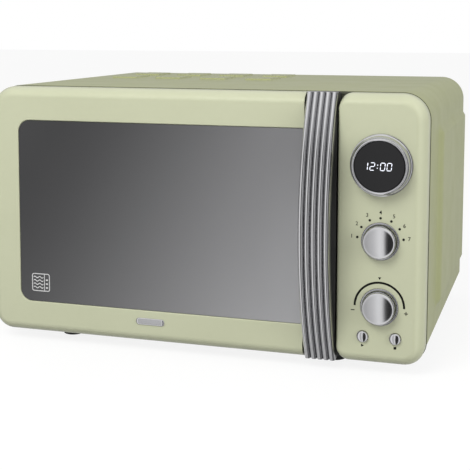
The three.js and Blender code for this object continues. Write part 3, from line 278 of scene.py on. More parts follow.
def loft(name: str, rings: Sequence[Sequence[Point]], loop: bool = False,
         sharp: float = SHARP) -> bpy.types.Object:
    """Joins rings of equally many points into a closed piece.

    Args:
        name: the piece's name.
        rings: the rings, in order.
        loop: joins the last ring to the first, where False closes both with a face.
        sharp: edges steeper than this stay sharp.

    Returns:
        The piece.
    """
    size = len(rings[0])
    points = [point for ring in rings for point in ring]
    last = len(rings) if loop else len(rings) - 1
    faces: list[list[int]] = []
    for row in range(last):
        here, there = row * size, (row + 1) % len(rings) * size
        for index in range(size):
            after = (index + 1) % size
            faces.append([here + index, here + after, there + after, there + index])
    if not loop:
        faces.append(list(range(size)))
        faces.append(list(range(len(points) - size, len(points))))
    return from_faces(name, points, faces, sharp)


class Axis(Enum):
    """The direction that a turned piece's height runs along."""

    X = 0
    Y = 1
    Z = 2


def turned(name: str, axis: Axis, centre: Point, profile: Sequence[Flat], sides: int = ROUND,
           sharp: float = SHARP) -> bpy.types.Object:
    """Turns a profile about an axis.

    Args:
        name: the piece's name.
        axis: the direction of the heights.
        centre: a place on the axis, from which heights are counted.
        profile: radius and height of each point. It closes on itself, or starts and ends at
            radius 0.
        sides: of the round.
        sharp: edges steeper than this stay sharp.

    Returns:
        The piece.
    """
    closed = profile[0][0] > 0
    inner = profile if closed else profile[1:-1]
    points: list[Point] = []
    for step in range(sides):
        turn = 2 * math.pi * step / sides
        for radius, height in inner:
            spot = [radius * math.cos(turn), radius * math.sin(turn)]
            spot.insert(axis.value, height)
            points.append(tuple(c + s for c, s in zip(centre, spot)))
    size = len(inner)
    rows = size if closed else size - 1
    faces: list[list[int]] = []
    for step in range(sides):
        here, there = step * size, (step + 1) % sides * size
        for row in range(rows):
            after = (row + 1) % size
            faces.append([here + row, here + after, there + after, there + row])
    if not closed:
        for end, row in ((profile[0], 0), (profile[-1], size - 1)):
            tip = [0.0, 0.0]
            tip.insert(axis.value, end[1])
            points.append(tuple(c + s for c, s in zip(centre, tip)))
            for step in range(sides):
                faces.append([step * size + row, (step + 1) % sides * size + row, len(points) - 1])
    return from_faces(name, points, faces, sharp)


def arc(centre: Flat, radius: float, start: float, end: float, count: int) -> list[Flat]:
    """Draws an arc.

    Args:
        centre: of the arc.
        radius: of the arc.
        start: first angle in degrees.
        end: last angle in degrees.
        count: of steps.

    Returns:
        Its points.
    """
    turns = [math.radians(turn) for turn in spread(start, end, count)]
    return [(centre[0] + radius * math.cos(t), centre[1] + radius * math.sin(t)) for t in turns]


def baked(thing: bpy.types.Object) -> bpy.types.Object:
    """Turns what a piece's modifiers make into its plain mesh.

    Args:
        thing: a piece with modifiers.

    Returns:
        The same piece.
    """
    bpy.context.view_layer.update()
    graph = bpy.context.evaluated_depsgraph_get()
    made = bpy.data.meshes.new_from_object(thing.evaluated_get(graph), depsgraph=graph)
    thing.modifiers.clear()
    thing.data = made
    return thing


def evened(thing: bpy.types.Object) -> bpy.types.Object:
    """Lets a piece's large faces set the normals, so that flat areas stay flat to the light.

    Args:
        thing: the piece.

    Returns:
        The same piece.
    """
    tool = thing.modifiers.new("Normals", "WEIGHTED_NORMAL")
    tool.mode = "FACE_AREA"
    tool.weight = 100
    tool.keep_sharp = True
    return baked(thing)


def bevelled(thing: bpy.types.Object, width: float, steps: int = 2,
             angle: float = 40) -> bpy.types.Object:
    """Rounds a piece's sharp edges.

    Args:
        thing: the piece.
        width: of the rounding, in millimetres.
        steps: of the rounding.
        angle: edges steeper than this many degrees are rounded.

    Returns:
        The same piece.
    """
    tool = thing.modifiers.new("Edges", "BEVEL")
    tool.width = width * MM
    tool.segments = steps
    tool.limit_method = "ANGLE"
    tool.angle_limit = math.radians(angle)
    tool.harden_normals = False
    baked(thing)
    shaded(thing.data)
    return thing


def carved(thing: bpy.types.Object, cutters: Iterable[bpy.types.Object]) -> bpy.types.Object:
    """Cuts shapes out of a piece and removes them.

    Args:
        thing: the piece.
        cutters: closed shapes.

    Returns:
        The same piece.
    """
    used = list(cutters)
    for cutter in used:
        tool = thing.modifiers.new("Cut", "BOOLEAN")
        tool.operation = "DIFFERENCE"
        tool.solver = "EXACT"
        tool.object = cutter
    baked(thing)
    for cutter in used:
        bpy.data.objects.remove(cutter)
    shaded(thing.data)
    return thing


def joined(name: str, things: Sequence[bpy.types.Object]) -> bpy.types.Object:
    """Puts several meshes in one piece.

    Args:
        name: of the new piece.
        things: the pieces, which are removed.

    Returns:
        The new piece.
    """
    whole = bmesh.new()
    for thing in things:
        whole.from_mesh(thing.data)
    mesh = bpy.data.meshes.new(name)
    whole.to_mesh(mesh)
    whole.free()
    for thing in things:
        bpy.data.objects.remove(thing)
    return as_object(name, mesh)


def block(name: str, low: Point, high: Point) -> bpy.types.Object:
    """Makes a plain block, for cutting or for bevelling.

    Args:
        name: of the block.
        low: lowest corner.
        high: highest corner.

    Returns:
        The block.
    """
    sides = ((low[0], low[2]), (high[0], low[2]), (high[0], high[2]), (low[0], high[2]))
    return loft(name, [level(sides, low[1]), level(sides, high[1])])


def refined(node: str, name: str, width: float, steps: int = 2) -> bpy.types.Object:
    """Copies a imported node's mesh, merges its triangles and rounds its edges.

    Args:
        node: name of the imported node.
        name: of the new piece.
        width: of the rounding, in millimetres.
        steps: of the rounding.

    Returns:
        The new piece.
    """
    work = bmesh.new()
    work.from_mesh(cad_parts[node].data)
    bmesh.ops.remove_doubles(work, verts=work.verts, dist=0.01 * MM)
    bmesh.ops.dissolve_limit(work, angle_limit=math.radians(0.5), verts=work.verts,
                             edges=work.edges, delimit=set())
    mesh = bpy.data.meshes.new(name)
    work.to_mesh(mesh)
    work.free()
    return bevelled(as_object(name, mesh), width, steps)


# --- Finishes -------------------------------------------------------------------------------


def linear(code: str) -> Colour:
    """Turns a screen colour such as "cfd3b5" into the values that a shader takes.

    Args:
        code: six hexadecimal digits.

    Returns:
        Red, green and blue, linear.
    """
    parts = [int(code[start:start + 2], 16) / 255 for start in (0, 2, 4)]
    return tuple(p / 12.92 if p <= 0.04045 else ((p + 0.055) / 1.055) ** 2.4 for p in parts)


class Tree:
    """A node tree that is written one node at a time."""

    def __init__(self, tree: bpy.types.NodeTree) -> None:
        """Starts with an empty tree.

        Args:
            tree: the tree to write.
        """
        self.tree = tree
        self.tree.nodes.clear()

    def add(self, kind: str, values: dict | None = None, **settings: object) -> bpy.types.Node:
        """Adds one node.

        Args:
            kind: the node's type.
            values: of its inputs by name or number, a number or colour, or another socket.
            settings: its own properties.

        Returns:
            The node.
        """
        node = self.tree.nodes.new(kind)
        for key, value in settings.items():
            setattr(node, key, value)
        for key, value in (values or {}).items():
            if isinstance(value, bpy.types.NodeSocket):
                self.tree.links.new(value, node.inputs[key])
            else:
                node.inputs[key].default_value = value
        return node

    def maths(self, operation: str, first: object, second: object = 0.0) -> bpy.types.NodeSocket:
        """Adds one Math node.

        Args:
            operation: its operation.
            first: its first input.
            second: its second input.

        Returns:
            Its result.
        """
        return self.add("ShaderNodeMath", {0: first, 1: second}, operation=operation).outputs[0]

    def noise(self, vector: object, scale: object, detail: float = 3.0) -> bpy.types.NodeSocket:
        """Adds one noise.

        Args:
            vector: where it is read.
            scale: its scale.
            detail: its detail.

        Returns:
            Its value.
        """
        values = {"Vector": vector, "Scale": scale, "Detail": detail}
        return self.add("ShaderNodeTexNoise", values).outputs[0]

    def ranged(self, value: object, ends: tuple[float, float],
               low: object, high: object) -> bpy.types.NodeSocket:
        """Adds one Map Range node.

        Args:
            value: what is mapped.
            ends: the values that are mapped to low and high.
            low: result at the first end.
            high: result at the second end.

        Returns:
            The mapped value.
        """
        values = {0: value, 1: ends[0], 2: ends[1], 3: low, 4: high}
        return self.add("ShaderNodeMapRange", values).outputs[0]

    def mixed(self, factor: object, first: object, second: object) -> bpy.types.NodeSocket:
        """Adds one colour mix.

        Args:
            factor: share of the second colour.
            first: the first colour.
            second: the second colour.

        Returns:
            The mixed colour.
        """
        node = self.add("ShaderNodeMix", data_type="RGBA")
        for key, value in ((0, factor), (6, first), (7, second)):
            if isinstance(value, bpy.types.NodeSocket):
                self.tree.links.new(value, node.inputs[key])
            else:
                node.inputs[key].default_value = value
        return node.outputs[2]


def shader_group(name: str, inputs: dict[str, str], outputs: dict[str, str],
                 write: Callable[[Tree, dict[str, bpy.types.NodeSocket]], dict[str, object]],
                 ) -> bpy.types.NodeTree:
    """Builds one shared effect.

    Args:
        name: of the group.
        inputs: kind of each input socket, by name.
        outputs: kind of each output socket, by name.
        write: takes the tree and the input sockets by name, adds the nodes, and gives the
            socket for each output.

    Returns:
        The group.
    """
    group = bpy.data.node_groups.new(name, "ShaderNodeTree")
    made = Tree(group)
    for label, kind in inputs.items():
        group.interface.new_socket(name=label, in_out="INPUT", socket_type=kind)
    for label, kind in outputs.items():
        group.interface.new_socket(name=label, in_out="OUTPUT", socket_type=kind)
    entry = made.add("NodeGroupInput")
    results = write(made, {label: entry.outputs[label] for label in inputs})
    made.add("NodeGroupOutput", results)
    return group


COAT_ROUGH = 0.08
SMUDGE_SCALE = 28.0
# Easing of the painted light ramp.
PAINTED_LIGHT_EASE = 1.75
RIB_PITCH = 5.88
RIB_PHASE = 0.9
NUMBER = "NodeSocketFloat"
VECTOR = "NodeSocketVector"
COLOUR = "NodeSocketColor"


class Surface(Enum):
    """The fine relief that a finish shows."""

    SMOOTH = "smooth"
    PEEL = "peel"
    GRAIN = "grain"
    BRUSHED = "brushed"
    SPECKLE = "speckle"
    STACK = "stack"
    WIRES = "wires"
    TRACES = "traces"
    # Relief of the handle's ribs; its mask paints shade into the valleys between them.
    FLUTES = "flutes"


class Effects:
    """The shared effects, each built once."""

    def __init__(self) -> None:
        """Builds every group."""
        self.tone = shader_group(
            "Tone", {"Vector": VECTOR, "Scale": NUMBER, "Base": COLOUR, "Shade": COLOUR,
                     "Amount": NUMBER}, {"Color": COLOUR}, self.write_tone)
        self.smudge = shader_group(
            "Smudge", {"Vector": VECTOR, "Scale": NUMBER, "Low": NUMBER, "High": NUMBER},
            {"Roughness": NUMBER}, self.write_smudge)
        self.relief = {
            kind: shader_group("Relief_" + kind.value, {"Vector": VECTOR, "Scale": NUMBER},
                               {"Height": NUMBER, "Mask": NUMBER}, write)
            for kind, write in (
                (Surface.PEEL, self.write_peel), (Surface.GRAIN, self.write_grain),
                (Surface.BRUSHED, self.write_brushed), (Surface.SPECKLE, self.write_speckle),
                (Surface.STACK, self.write_stack), (Surface.WIRES, self.write_wires),
                (Surface.TRACES, self.write_traces), (Surface.FLUTES, self.write_flutes))
        }

    @staticmethod
    def write_tone(tree: Tree, take: dict) -> dict:
        """Drifts slowly between two colours."""
        broad = tree.noise(take["Vector"], take["Scale"], 2.0)
        fine = tree.noise(take["Vector"], tree.maths("MULTIPLY", take["Scale"], 14.0), 4.0)
        both = tree.maths("ADD", tree.maths("MULTIPLY", broad, 0.7),
                          tree.maths("MULTIPLY", fine, 0.3))
        share = tree.maths("MULTIPLY", tree.ranged(both, (0.35, 0.65), 0.0, 1.0), take["Amount"])
        return {"Color": tree.mixed(share, take["Base"], take["Shade"])}

    @staticmethod
    def write_smudge(tree: Tree, take: dict) -> dict:
        """Drifts between two roughnesses, as handled surfaces do."""
        cloud = tree.noise(take["Vector"], take["Scale"], 5.0)
        return {"Roughness": tree.ranged(cloud, (0.38, 0.66), take["Low"], take["High"])}

    @staticmethod
    def write_peel(tree: Tree, take: dict) -> dict:
        """Gives the soft ripple of sprayed paint."""
        ripple = tree.noise(take["Vector"], take["Scale"], 1.5)
        return {"Height": ripple, "Mask": ripple}

    @staticmethod
    def write_grain(tree: Tree, take: dict) -> dict:
        """Gives the fine pebbled grain of moulded plastic."""
        cells = tree.add("ShaderNodeTexVoronoi", {"Vector": take["Vector"], "Scale": take["Scale"]},
                         feature="SMOOTH_F1")
        height = tree.maths("SUBTRACT", 1.0, cells.outputs["Distance"])
        return {"Height": height, "Mask": height}

    @staticmethod
    def write_brushed(tree: Tree, take: dict) -> dict:
        """Gives fine lines along X."""
        drawn = tree.add("ShaderNodeMapping", {"Vector": take["Vector"], "Scale": (0.03, 1.0, 1.0)})
        lines = tree.noise(drawn.outputs[0], take["Scale"], 6.0)
        return {"Height": lines, "Mask": lines}

    @staticmethod
    def write_speckle(tree: Tree, take: dict) -> dict:
        """Gives scattered specks."""
        cells = tree.add("ShaderNodeTexVoronoi", {"Vector": take["Vector"], "Scale": take["Scale"]})
        specks = tree.ranged(cells.outputs["Distance"], (0.16, 0.24), 1.0, 0.0)
        ripple = tree.noise(take["Vector"], take["Scale"], 2.0)
        return {"Height": ripple, "Mask": specks}

    @staticmethod
    def write_stack(tree: Tree, take: dict) -> dict:
        """Gives the edges of thin sheets stacked along Y."""
        bands = tree.add("ShaderNodeTexWave", {"Vector": take["Vector"], "Scale": take["Scale"],
                                               "Distortion": 0.6, "Detail": 1.0},
                         wave_type="BANDS", bands_direction="Y", wave_profile="SAW")
        return {"Height": bands.outputs["Fac"], "Mask": bands.outputs["Fac"]}

    @staticmethod
    def write_wires(tree: Tree, take: dict) -> dict:
        """Gives the turns of a winding, one above the other."""
        turns = tree.add("ShaderNodeTexWave", {"Vector": take["Vector"], "Scale": take["Scale"],
                                               "Distortion": 0.8, "Detail": 1.0},
                         wave_type="BANDS", bands_direction="Z", wave_profile="SIN")
        return {"Height": turns.outputs["Fac"], "Mask": turns.outputs["Fac"]}

    @staticmethod
    def write_traces(tree: Tree, take: dict) -> dict:
        """Gives the copper tracks of a circuit board."""
        cells = tree.add("ShaderNodeTexVoronoi", {"Vector": take["Vector"], "Scale": take["Scale"]},
                         distance="CHEBYCHEV", feature="F1")
        tracks = tree.ranged(cells.outputs["Distance"], (0.40, 0.44), 0.0, 1.0)
        return {"Height": tracks, "Mask": tracks}


    @staticmethod
    def write_flutes(tree: Tree, take: dict) -> dict:
        """Gives fine lines as relief, and as mask painted shade in the valleys between ribs that
        stand side by side along X.
        """
        valley_shade = tree.add("ShaderNodeTexWave", {"Vector": take["Vector"], "Scale": take["Scale"],
                                               "Distortion": 0.0, "Phase Offset": RIB_PHASE},
                         wave_type="BANDS", bands_direction="X", wave_profile="SIN")
        lines = tree.noise(take["Vector"], 900.0, 3.0)
        return {"Height": lines, "Mask": valley_shade.outputs["Fac"]}


EFFECTS = Effects()


@dataclass(frozen=True)
class Finish:
    """One surface finish.

    The colour drifts to shade, more so where the relief's mask is high; on the handle's ribs that
    mask is painted shade in the valleys between them. The roughness drifts between rough and rough
    + smudge.
    """

    slot: str
    colour: str
    shade: str
    rough: float
    smudge: float = 0.06
    metal: float = 0.0
    coat: float = 0.0
    surface: Surface = Surface.SMOOTH
    scale: float = 300.0
    depth: float = 0.0
    tone_scale: float = 12.0
    tone: float = 0.5
    mask: float = 0.0
    specular: float = 0.5
    clear: float = 0.0
    glow: float = 0.0
    # Painted light: a colour ramp between two places in millimetres that lightens the colour
    # towards the second place, standing in for light and reflection.
    gradient: tuple[Point, Point, str] | None = None

    def material(self) -> bpy.types.Material:
        """Builds the material, or gives the one built before.

        Returns:
            The material.
        """
        label = f"{self.slot}_{self.colour}_{self.surface.value}_{self.rough}"
        if label in bpy.data.materials:
            return bpy.data.materials[label]
        material = bpy.data.materials.new(label)
        material.use_nodes = True
        tree = Tree(material.node_tree)
        where = tree.add("ShaderNodeTexCoord").outputs["Object"]
        values: dict = {"Metallic": self.metal, "Coat Weight": self.coat,
                        "Coat Roughness": COAT_ROUGH,
                        "Specular IOR Level": self.specular, "Transmission Weight": self.clear}
        values["Base Color"] = self.colour_socket(tree, where)
        smudge = tree.add("ShaderNodeGroup", node_tree=EFFECTS.smudge)
        ends = {"Scale": SMUDGE_SCALE, "Low": self.rough, "High": self.rough + self.smudge}
        for key, value in ends.items():
            smudge.inputs[key].default_value = value
        tree.tree.links.new(where, smudge.inputs["Vector"])
        values["Roughness"] = smudge.outputs[0]
        if self.depth:
            relief = self.relief(tree, where)
            bump = tree.add("ShaderNodeBump", {"Height": relief.outputs["Height"],
                                               "Strength": 1.0, "Distance": self.depth * MM})
            values["Normal"] = bump.outputs[0]
        if self.glow:
            values["Emission Color"] = (*linear(self.colour), 1.0)
            values["Emission Strength"] = self.glow
        shader = tree.add("ShaderNodeBsdfPrincipled", values)
        tree.add("ShaderNodeOutputMaterial", {"Surface": shader.outputs[0]})
        return material

    def relief(self, tree: Tree, where: bpy.types.NodeSocket) -> bpy.types.Node:
        """Adds the group of the finish's relief.

        Args:
            tree: the material's tree.
            where: the object's coordinates.

        Returns:
            The group's node.
        """
        node = tree.add("ShaderNodeGroup", node_tree=EFFECTS.relief[self.surface])
        node.inputs["Scale"].default_value = self.scale
        tree.tree.links.new(where, node.inputs["Vector"])
        return node

    def colour_socket(self, tree: Tree, where: bpy.types.NodeSocket) -> bpy.types.NodeSocket:
        """Adds the finish's colour.

        Args:
            tree: the material's tree.
            where: the object's coordinates.

        Returns:
            The socket that holds the colour.
        """
        base = (*linear(self.colour), 1.0)
        shade = (*linear(self.shade), 1.0)
        tone = tree.add("ShaderNodeGroup", node_tree=EFFECTS.tone)
        tree.tree.links.new(where, tone.inputs["Vector"])
        tone.inputs["Scale"].default_value = self.tone_scale
        tone.inputs["Base"].default_value = base
        tone.inputs["Shade"].default_value = shade
        tone.inputs["Amount"].default_value = self.tone
        colour = tone.outputs[0]
        if self.mask:
            mask = self.relief(tree, where).outputs["Mask"]
            colour = tree.mixed(tree.maths("MULTIPLY", mask, self.mask), colour, shade)
        # Painted light: the colour is eased towards the ramp's colour along the run.
        if self.gradient:
            start, end, code = self.gradient
            low, high = at(start), at(end)
            run = high - low
            along = tree.add("ShaderNodeVectorMath", {0: where, 1: tuple(low)},
                             operation="SUBTRACT")
            share = tree.add("ShaderNodeVectorMath",
                             {0: along.outputs[0], 1: tuple(run / run.length_squared)},
                             operation="DOT_PRODUCT").outputs["Value"]
            eased = tree.maths("POWER", tree.ranged(share, (0.0, 1.0), 0.0, 1.0), PAINTED_LIGHT_EASE)
            colour = tree.mixed(eased, colour, (*linear(code), 1.0))
        return colour

    def dress(self, piece: bpy.types.Object) -> None:
        """Gives a piece this finish in every one of its material slots.

        Args:
            piece: the piece.
        """
        if not piece.material_slots:
            piece.data.materials.append(self.material())
        for place in piece.material_slots:
            place.material = self.material()


GREEN = Finish("moulding", "bfc2a5", "b7ba9c", 0.30, 0.05, coat=0.25, surface=Surface.PEEL,
               scale=900, depth=0.012, tone=0.35)
COVER = Finish("cover", "9fa374", "989c6e", 0.36, 0.06, coat=0.12, surface=Surface.PEEL,
               scale=1300, depth=0.03, tone=0.4)
SHADE = Finish("cavity_paint", "55574a", "4c4e42", 0.42, 0.1, surface=Surface.GRAIN, scale=1200,
               depth=0.02, tone=0.4)
CHROME = Finish("chrome", "d6d6d8", "c6c6ca", 0.07, 0.05, metal=1.0, tone=0.3,
                surface=Surface.PEEL, scale=500, depth=0.004)
SATIN = Finish("chrome", "b9b9bd", "a9a9ae", 0.2, 0.08, metal=1.0, surface=Surface.BRUSHED,
               scale=1500, depth=0.01, tone=0.4)
# The handle's ribs: chrome with painted shade, the dark shade colour laid into the valleys between
# the ribs.
CHROME_RIB_SHADE = Finish("chrome", "f4f4f6", "6a6a6d", 0.1, 0.06, metal=1.0, tone=0.1,
                surface=Surface.FLUTES, scale=2 * math.pi / (20 * RIB_PITCH * MM), depth=0.003,
                mask=0.7)
DARK = Finish("dark_plastic", "434342", "383837", 0.38, 0.1, surface=Surface.GRAIN,
              scale=1600, depth=0.03, tone=0.6)
INK = Finish("dark_plastic", "0b0b09", "12120f", 0.5, 0.1, specular=0.2,
             surface=Surface.GRAIN, scale=3000, depth=0.004, tone=0.5)
GLOSS = Finish("black_gloss", "121214", "0f0f11", 0.08, 0.05, coat=0.1, specular=0.3, tone=0.4,
               surface=Surface.PEEL, scale=120, depth=0.004)
DIGIT = Finish("black_gloss", "f2f5ff", "e4ebff", 0.4, tone=0.2, glow=0.55)
# The window: dark glass painted lighter towards its lower right, standing in for the light and
# reflection on it.
WINDOW = Finish("window", "373738", "343435", 0.16, 0.05, coat=0.3, tone=0.3, specular=0.35,
                surface=Surface.PEEL, scale=60, depth=0.004,
                gradient=((60, -21, 200), (322, -21, 22), "a6a6a8"))
SILVER = Finish("window", "d4d4d4", "c4c4c6", 0.35, metal=0.2, tone=0.3)
GLASS = Finish("glass", "e9f3f0", "e2efeb", 0.02, 0.03, tone=0.3, clear=0.92,
               surface=Surface.PEEL, scale=80, depth=0.01)
FILM = Finish("clear_film", "dfe3e2", "d2d7d6", 0.06, 0.08, tone=0.3, clear=0.85,
              surface=Surface.PEEL, scale=60, depth=0.01)
SCREEN = Finish("screen", "2b2b2c", "232324", 0.4, 0.1, metal=0.3, surface=Surface.GRAIN,
                scale=2500, depth=0.01)
STEEL = Finish("steel", "b3b6b8", "9da1a5", 0.32, 0.14, metal=0.9, surface=Surface.SPECKLE,
               scale=90, depth=0.01, tone_scale=40, tone=0.4, mask=0.15)
ENAMEL = Finish("cavity_paint", "c3c3bf", "a9a9a5", 0.34, 0.12, surface=Surface.SPECKLE,
                scale=700, depth=0.03, tone=0.3, mask=0.7)
RUBBER = Finish("rubber", "1b1b1b", "242423", 0.6, 0.15, surface=Surface.GRAIN, scale=1400,
                depth=0.05, tone=0.7)
LAMINATE = Finish("laminate", "6f655b", "4a4138", 0.45, 0.15, metal=0.5, surface=Surface.STACK,
                  scale=320, depth=0.12, mask=0.6)
WINDING = Finish("winding", "b4673a", "7a3d1d", 0.3, 0.1, metal=0.75, surface=Surface.WIRES,
                 scale=260, depth=0.3, mask=0.6)
CAN = Finish("can", "c2c4c6", "a8abae", 0.24, 0.12, metal=0.95, surface=Surface.BRUSHED,
             scale=900, depth=0.02)
BOARD = Finish("board", "2c5a38", "4b8057", 0.42, 0.1, coat=0.2, surface=Surface.TRACES,
               scale=240, depth=0.05, mask=0.8)
WHITE = Finish("white_plastic", "e3e1da", "d6d3c8", 0.4, 0.12, surface=Surface.GRAIN,
               scale=1500, depth=0.02)
MICA = Finish("mica", "b7a886", "8f815f", 0.4, 0.2, surface=Surface.SPECKLE, scale=160,
              depth=0.08, tone_scale=60, tone=0.8, mask=0.5)


def settle(piece: bpy.types.Object, body: str, finish: Finish, *nodes: str) -> bpy.types.Object:
    """Finishes a piece: its material, the body it moves with, its slot and what it stands for.

    Args:
        piece: the piece.
        body: the body it moves with.
        finish: its finish.
        nodes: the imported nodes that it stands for.

    Returns:
        The piece.
    """
    evened(piece)
    piece.data.materials.clear()
    finish.dress(piece)
    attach(piece, body)
    if nodes:
        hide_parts(*nodes)
    log.info("%s on %s: %d faces, %s", piece.name, body, len(piece.data.polygons), finish.slot)
    return piece


# --- What repeats ----------------------------------------------------------------------------


@dataclass
class Repeat:
    """A small shape repeated at many places by a Geometry Nodes tree."""

    name: str
    shape: bpy.types.Object
    places: list[Point]
    scale: float = 1.0

    def tree(self, finish: Finish) -> bpy.types.NodeTree:
        """Builds the tree: points, the shape on each, made real, with its material.

        Args:
            finish: the finish of the copies.

        Returns:
            The tree.
        """
        group = bpy.data.node_groups.new(self.name + "_copies", "GeometryNodeTree")
        face = group.interface
        face.new_socket(name="Geometry", in_out="INPUT", socket_type="NodeSocketGeometry")
        face.new_socket(name="Shape", in_out="INPUT", socket_type="NodeSocketObject")
        face.new_socket(name="Size", in_out="INPUT", socket_type="NodeSocketFloat")
        face.new_socket(name="Geometry", in_out="OUTPUT", socket_type="NodeSocketGeometry")
        tree = Tree(group)
        entry = tree.add("NodeGroupInput")
        points = tree.add("GeometryNodeMeshToPoints", {"Mesh": entry.outputs["Geometry"]})
        shape = tree.add("GeometryNodeObjectInfo", {"Object": entry.outputs["Shape"]})
        size = tree.add("ShaderNodeCombineXYZ", {axis: entry.outputs["Size"] for axis in range(3)})
        copies = tree.add("GeometryNodeInstanceOnPoints", {
            "Points": points.outputs[0], "Instance": shape.outputs["Geometry"],
            "Scale": size.outputs[0]})
        real = tree.add("GeometryNodeRealizeInstances", {0: copies.outputs[0]})
        dressed = tree.add("GeometryNodeSetMaterial", {"Geometry": real.outputs[0]})
        dressed.inputs["Material"].default_value = finish.material()
        tree.add("NodeGroupOutput", {0: dressed.outputs[0]})
        return group

    def make(self, finish: Finish) -> bpy.types.Object:
        """Makes the copies as one plain mesh and removes the shape.

        Args:
            finish: the finish of the copies.

        Returns:
            The piece.
        """
        mesh = bpy.data.meshes.new(self.name)
        mesh.from_pydata([at(place) for place in self.places], [], [])
        thing = bpy.data.objects.new(self.name, mesh)
        bpy.context.scene.collection.objects.link(thing)
        tool = thing.modifiers.new("Copies", "NODES")
        group = self.tree(finish)
        tool.node_group = group
        sockets = {item.name: item.identifier for item in group.interface.items_tree
                   if item.in_out == "INPUT"}
        tool[sockets["Shape"]] = self.shape
        tool[sockets["Size"]] = self.scale
        baked(thing)
        bpy.data.objects.remove(self.shape)
        shaded(thing.data)
        return thing


def shape_at_zero(thing: bpy.types.Object) -> bpy.types.Object:
    """Moves a shape drawn about the oven's own corner to the scene's origin.

    Args:
        thing: the shape.

    Returns:
        The same shape.
    """
    thing.data.transform(Matrix.Translation(-ORIGIN))
    return thing


def screw_head(radius: float, rise: float) -> bpy.types.Object:
    """Makes a cross-head screw that faces the back.

    Args:
        radius: of the head.
        rise: of the head.

    Returns:
        The head, at the scene's origin.
    """
    profile = [(0, 0), (radius, 0), (radius, 0.35 * rise), (0.8 * radius, 0.8 * rise),
               (0.45 * radius, rise), (0, rise)]
    head = turned("screw_head", Axis.Y, (0, 0, 0), profile, 20)
    reach, half = 0.6 * radius, 0.13 * radius
    cross = [block("slot", (-reach, 0.5 * rise, -half), (reach, 2 * rise, half)),
             block("slot", (-half, 0.5 * rise, -reach), (half, 2 * rise, reach))]
    return shape_at_zero(carved(head, cross))


# --- Cabinet ---------------------------------------------------------------------------------


@dataclass
class Cover:
    """The sheet folded over the body, with a raised panel on each side and pads on top."""

    raise_side: float = 4.5
    panel_front: float = 56.0
    panel_back: float = 312.0
    panel_low: float = 36.0
    panel_top: float = 218.0
    ramp_y: float = 18.0
    ramp_z: float = 9.0
    start: float = 18.5
    pad_raise: float = 1.6
    pad_width: float = 31.0
    pad_depth: float = 46.0
    pad_pitch: float = 54.0
    pad_first: float = 52.0
    pad_count: int = 4
    pad_rows: tuple[float, ...] = (174.0, 247.0)
    pad_ramp: float = 1.4

    def pad_places(self) -> list[float]:
        """Gives the left side of each column of pads."""
        return [self.pad_first + number * self.pad_pitch for number in range(self.pad_count)]

    def plateau(self, value: float, start: float, end: float, ramp: float) -> float:
        """Gives 0 outside a span and 1 on its middle, eased between.

        Args:
            value: where it is read.
            start: of the span.
            end: of the span.
            ramp: width of each slope.

        Returns:
            A number from 0 to 1.
        """
        return smooth_step(min(value - start, end - value) / ramp)

    def lift(self, x: float, z: float, normal: Flat, y: float) -> float:
        """Gives how far the sheet stands out at one place.

        Args:
            x: of the place.
            z: of the place.
            normal: of the plain outline there.
            y: of the place.

        Returns:
            The height in millimetres.
        """
        if abs(normal[0]) > 0.999:
            rise = self.plateau(z, self.panel_low, self.panel_top, self.ramp_z)
            return self.raise_side * rise * self.plateau(
                y, self.panel_front, self.panel_back, self.ramp_y)
        if normal[1] < 0.999:
            return 0.0
        columns = [self.plateau(x, first, first + self.pad_width, self.pad_ramp)
                   for first in self.pad_places()]
        rows = [self.plateau(y, row, row + self.pad_depth, self.pad_ramp) for row in self.pad_rows]
        return self.pad_raise * max(columns) * max(rows)

    def outline(self) -> list[tuple[float, float, float, float]]:
        """Gives the points of the plain outline with their normals.

        Returns:
            x, z and the normal's x and z, from the lower left edge over the top to the right.
        """
        radius = SITE.top_radius
        shoulder = SITE.height - radius
        left = [(0.0, z, -1.0, 0.0) for z in spread(self.start, shoulder, 72)[:-1]]
        turns = [math.radians(turn) for turn in spread(180, 90, 20)]
        left += [(radius + radius * math.cos(t), shoulder + radius * math.sin(t),
                  math.cos(t), math.sin(t)) for t in turns]
        right = [(SITE.width - x, z, -nx, nz) for x, z, nx, nz in reversed(left)]
        firsts = self.pad_places()
        edges = firsts + [-(first + self.pad_width) for first in firsts]
        places = stations(radius, SITE.width - radius, 90, edges, self.pad_ramp)
        top = [(x, SITE.height, 0.0, 1.0) for x in places[1:-1]]
        return left + top + right

    def make(self) -> bpy.types.Object:
        """Makes the cover with its wall.

        Returns:
            The piece.
        """
        outline = self.outline()
        edges = [*self.pad_rows, *(-(row + self.pad_depth) for row in self.pad_rows)]
        rows = stations(SITE.seam, SITE.depth, 84, edges, self.pad_ramp)
        points: list[Point] = []
        for y in rows:
            for side in (0.0, -SITE.sheet):
                for x, z, nx, nz in outline:
                    out = self.lift(x, z, (nx, nz), y) + side
                    points.append((x + nx * out, y, z + nz * out))
        size = len(outline)
        faces: list[list[int]] = []
        for row in range(len(rows) - 1):
            here, there = 2 * size * row, 2 * size * (row + 1)
            for index in range(size - 1):
                faces.append([here + index, here + index + 1, there + index + 1, there + index])
                low, high = here + size + index, there + size + index
                faces.append([low + 1, low, high, high + 1])
            for index in (0, size - 1):
                faces.append([here + index, here + size + index,
                              there + size + index, there + index])
        for here in (0, 2 * size * (len(rows) - 1)):
            for index in range(size - 1):
                faces.append([here + index, here + index + 1,
                              here + size + index + 1, here + size + index])
        return from_faces("cover_sheet", points, faces)


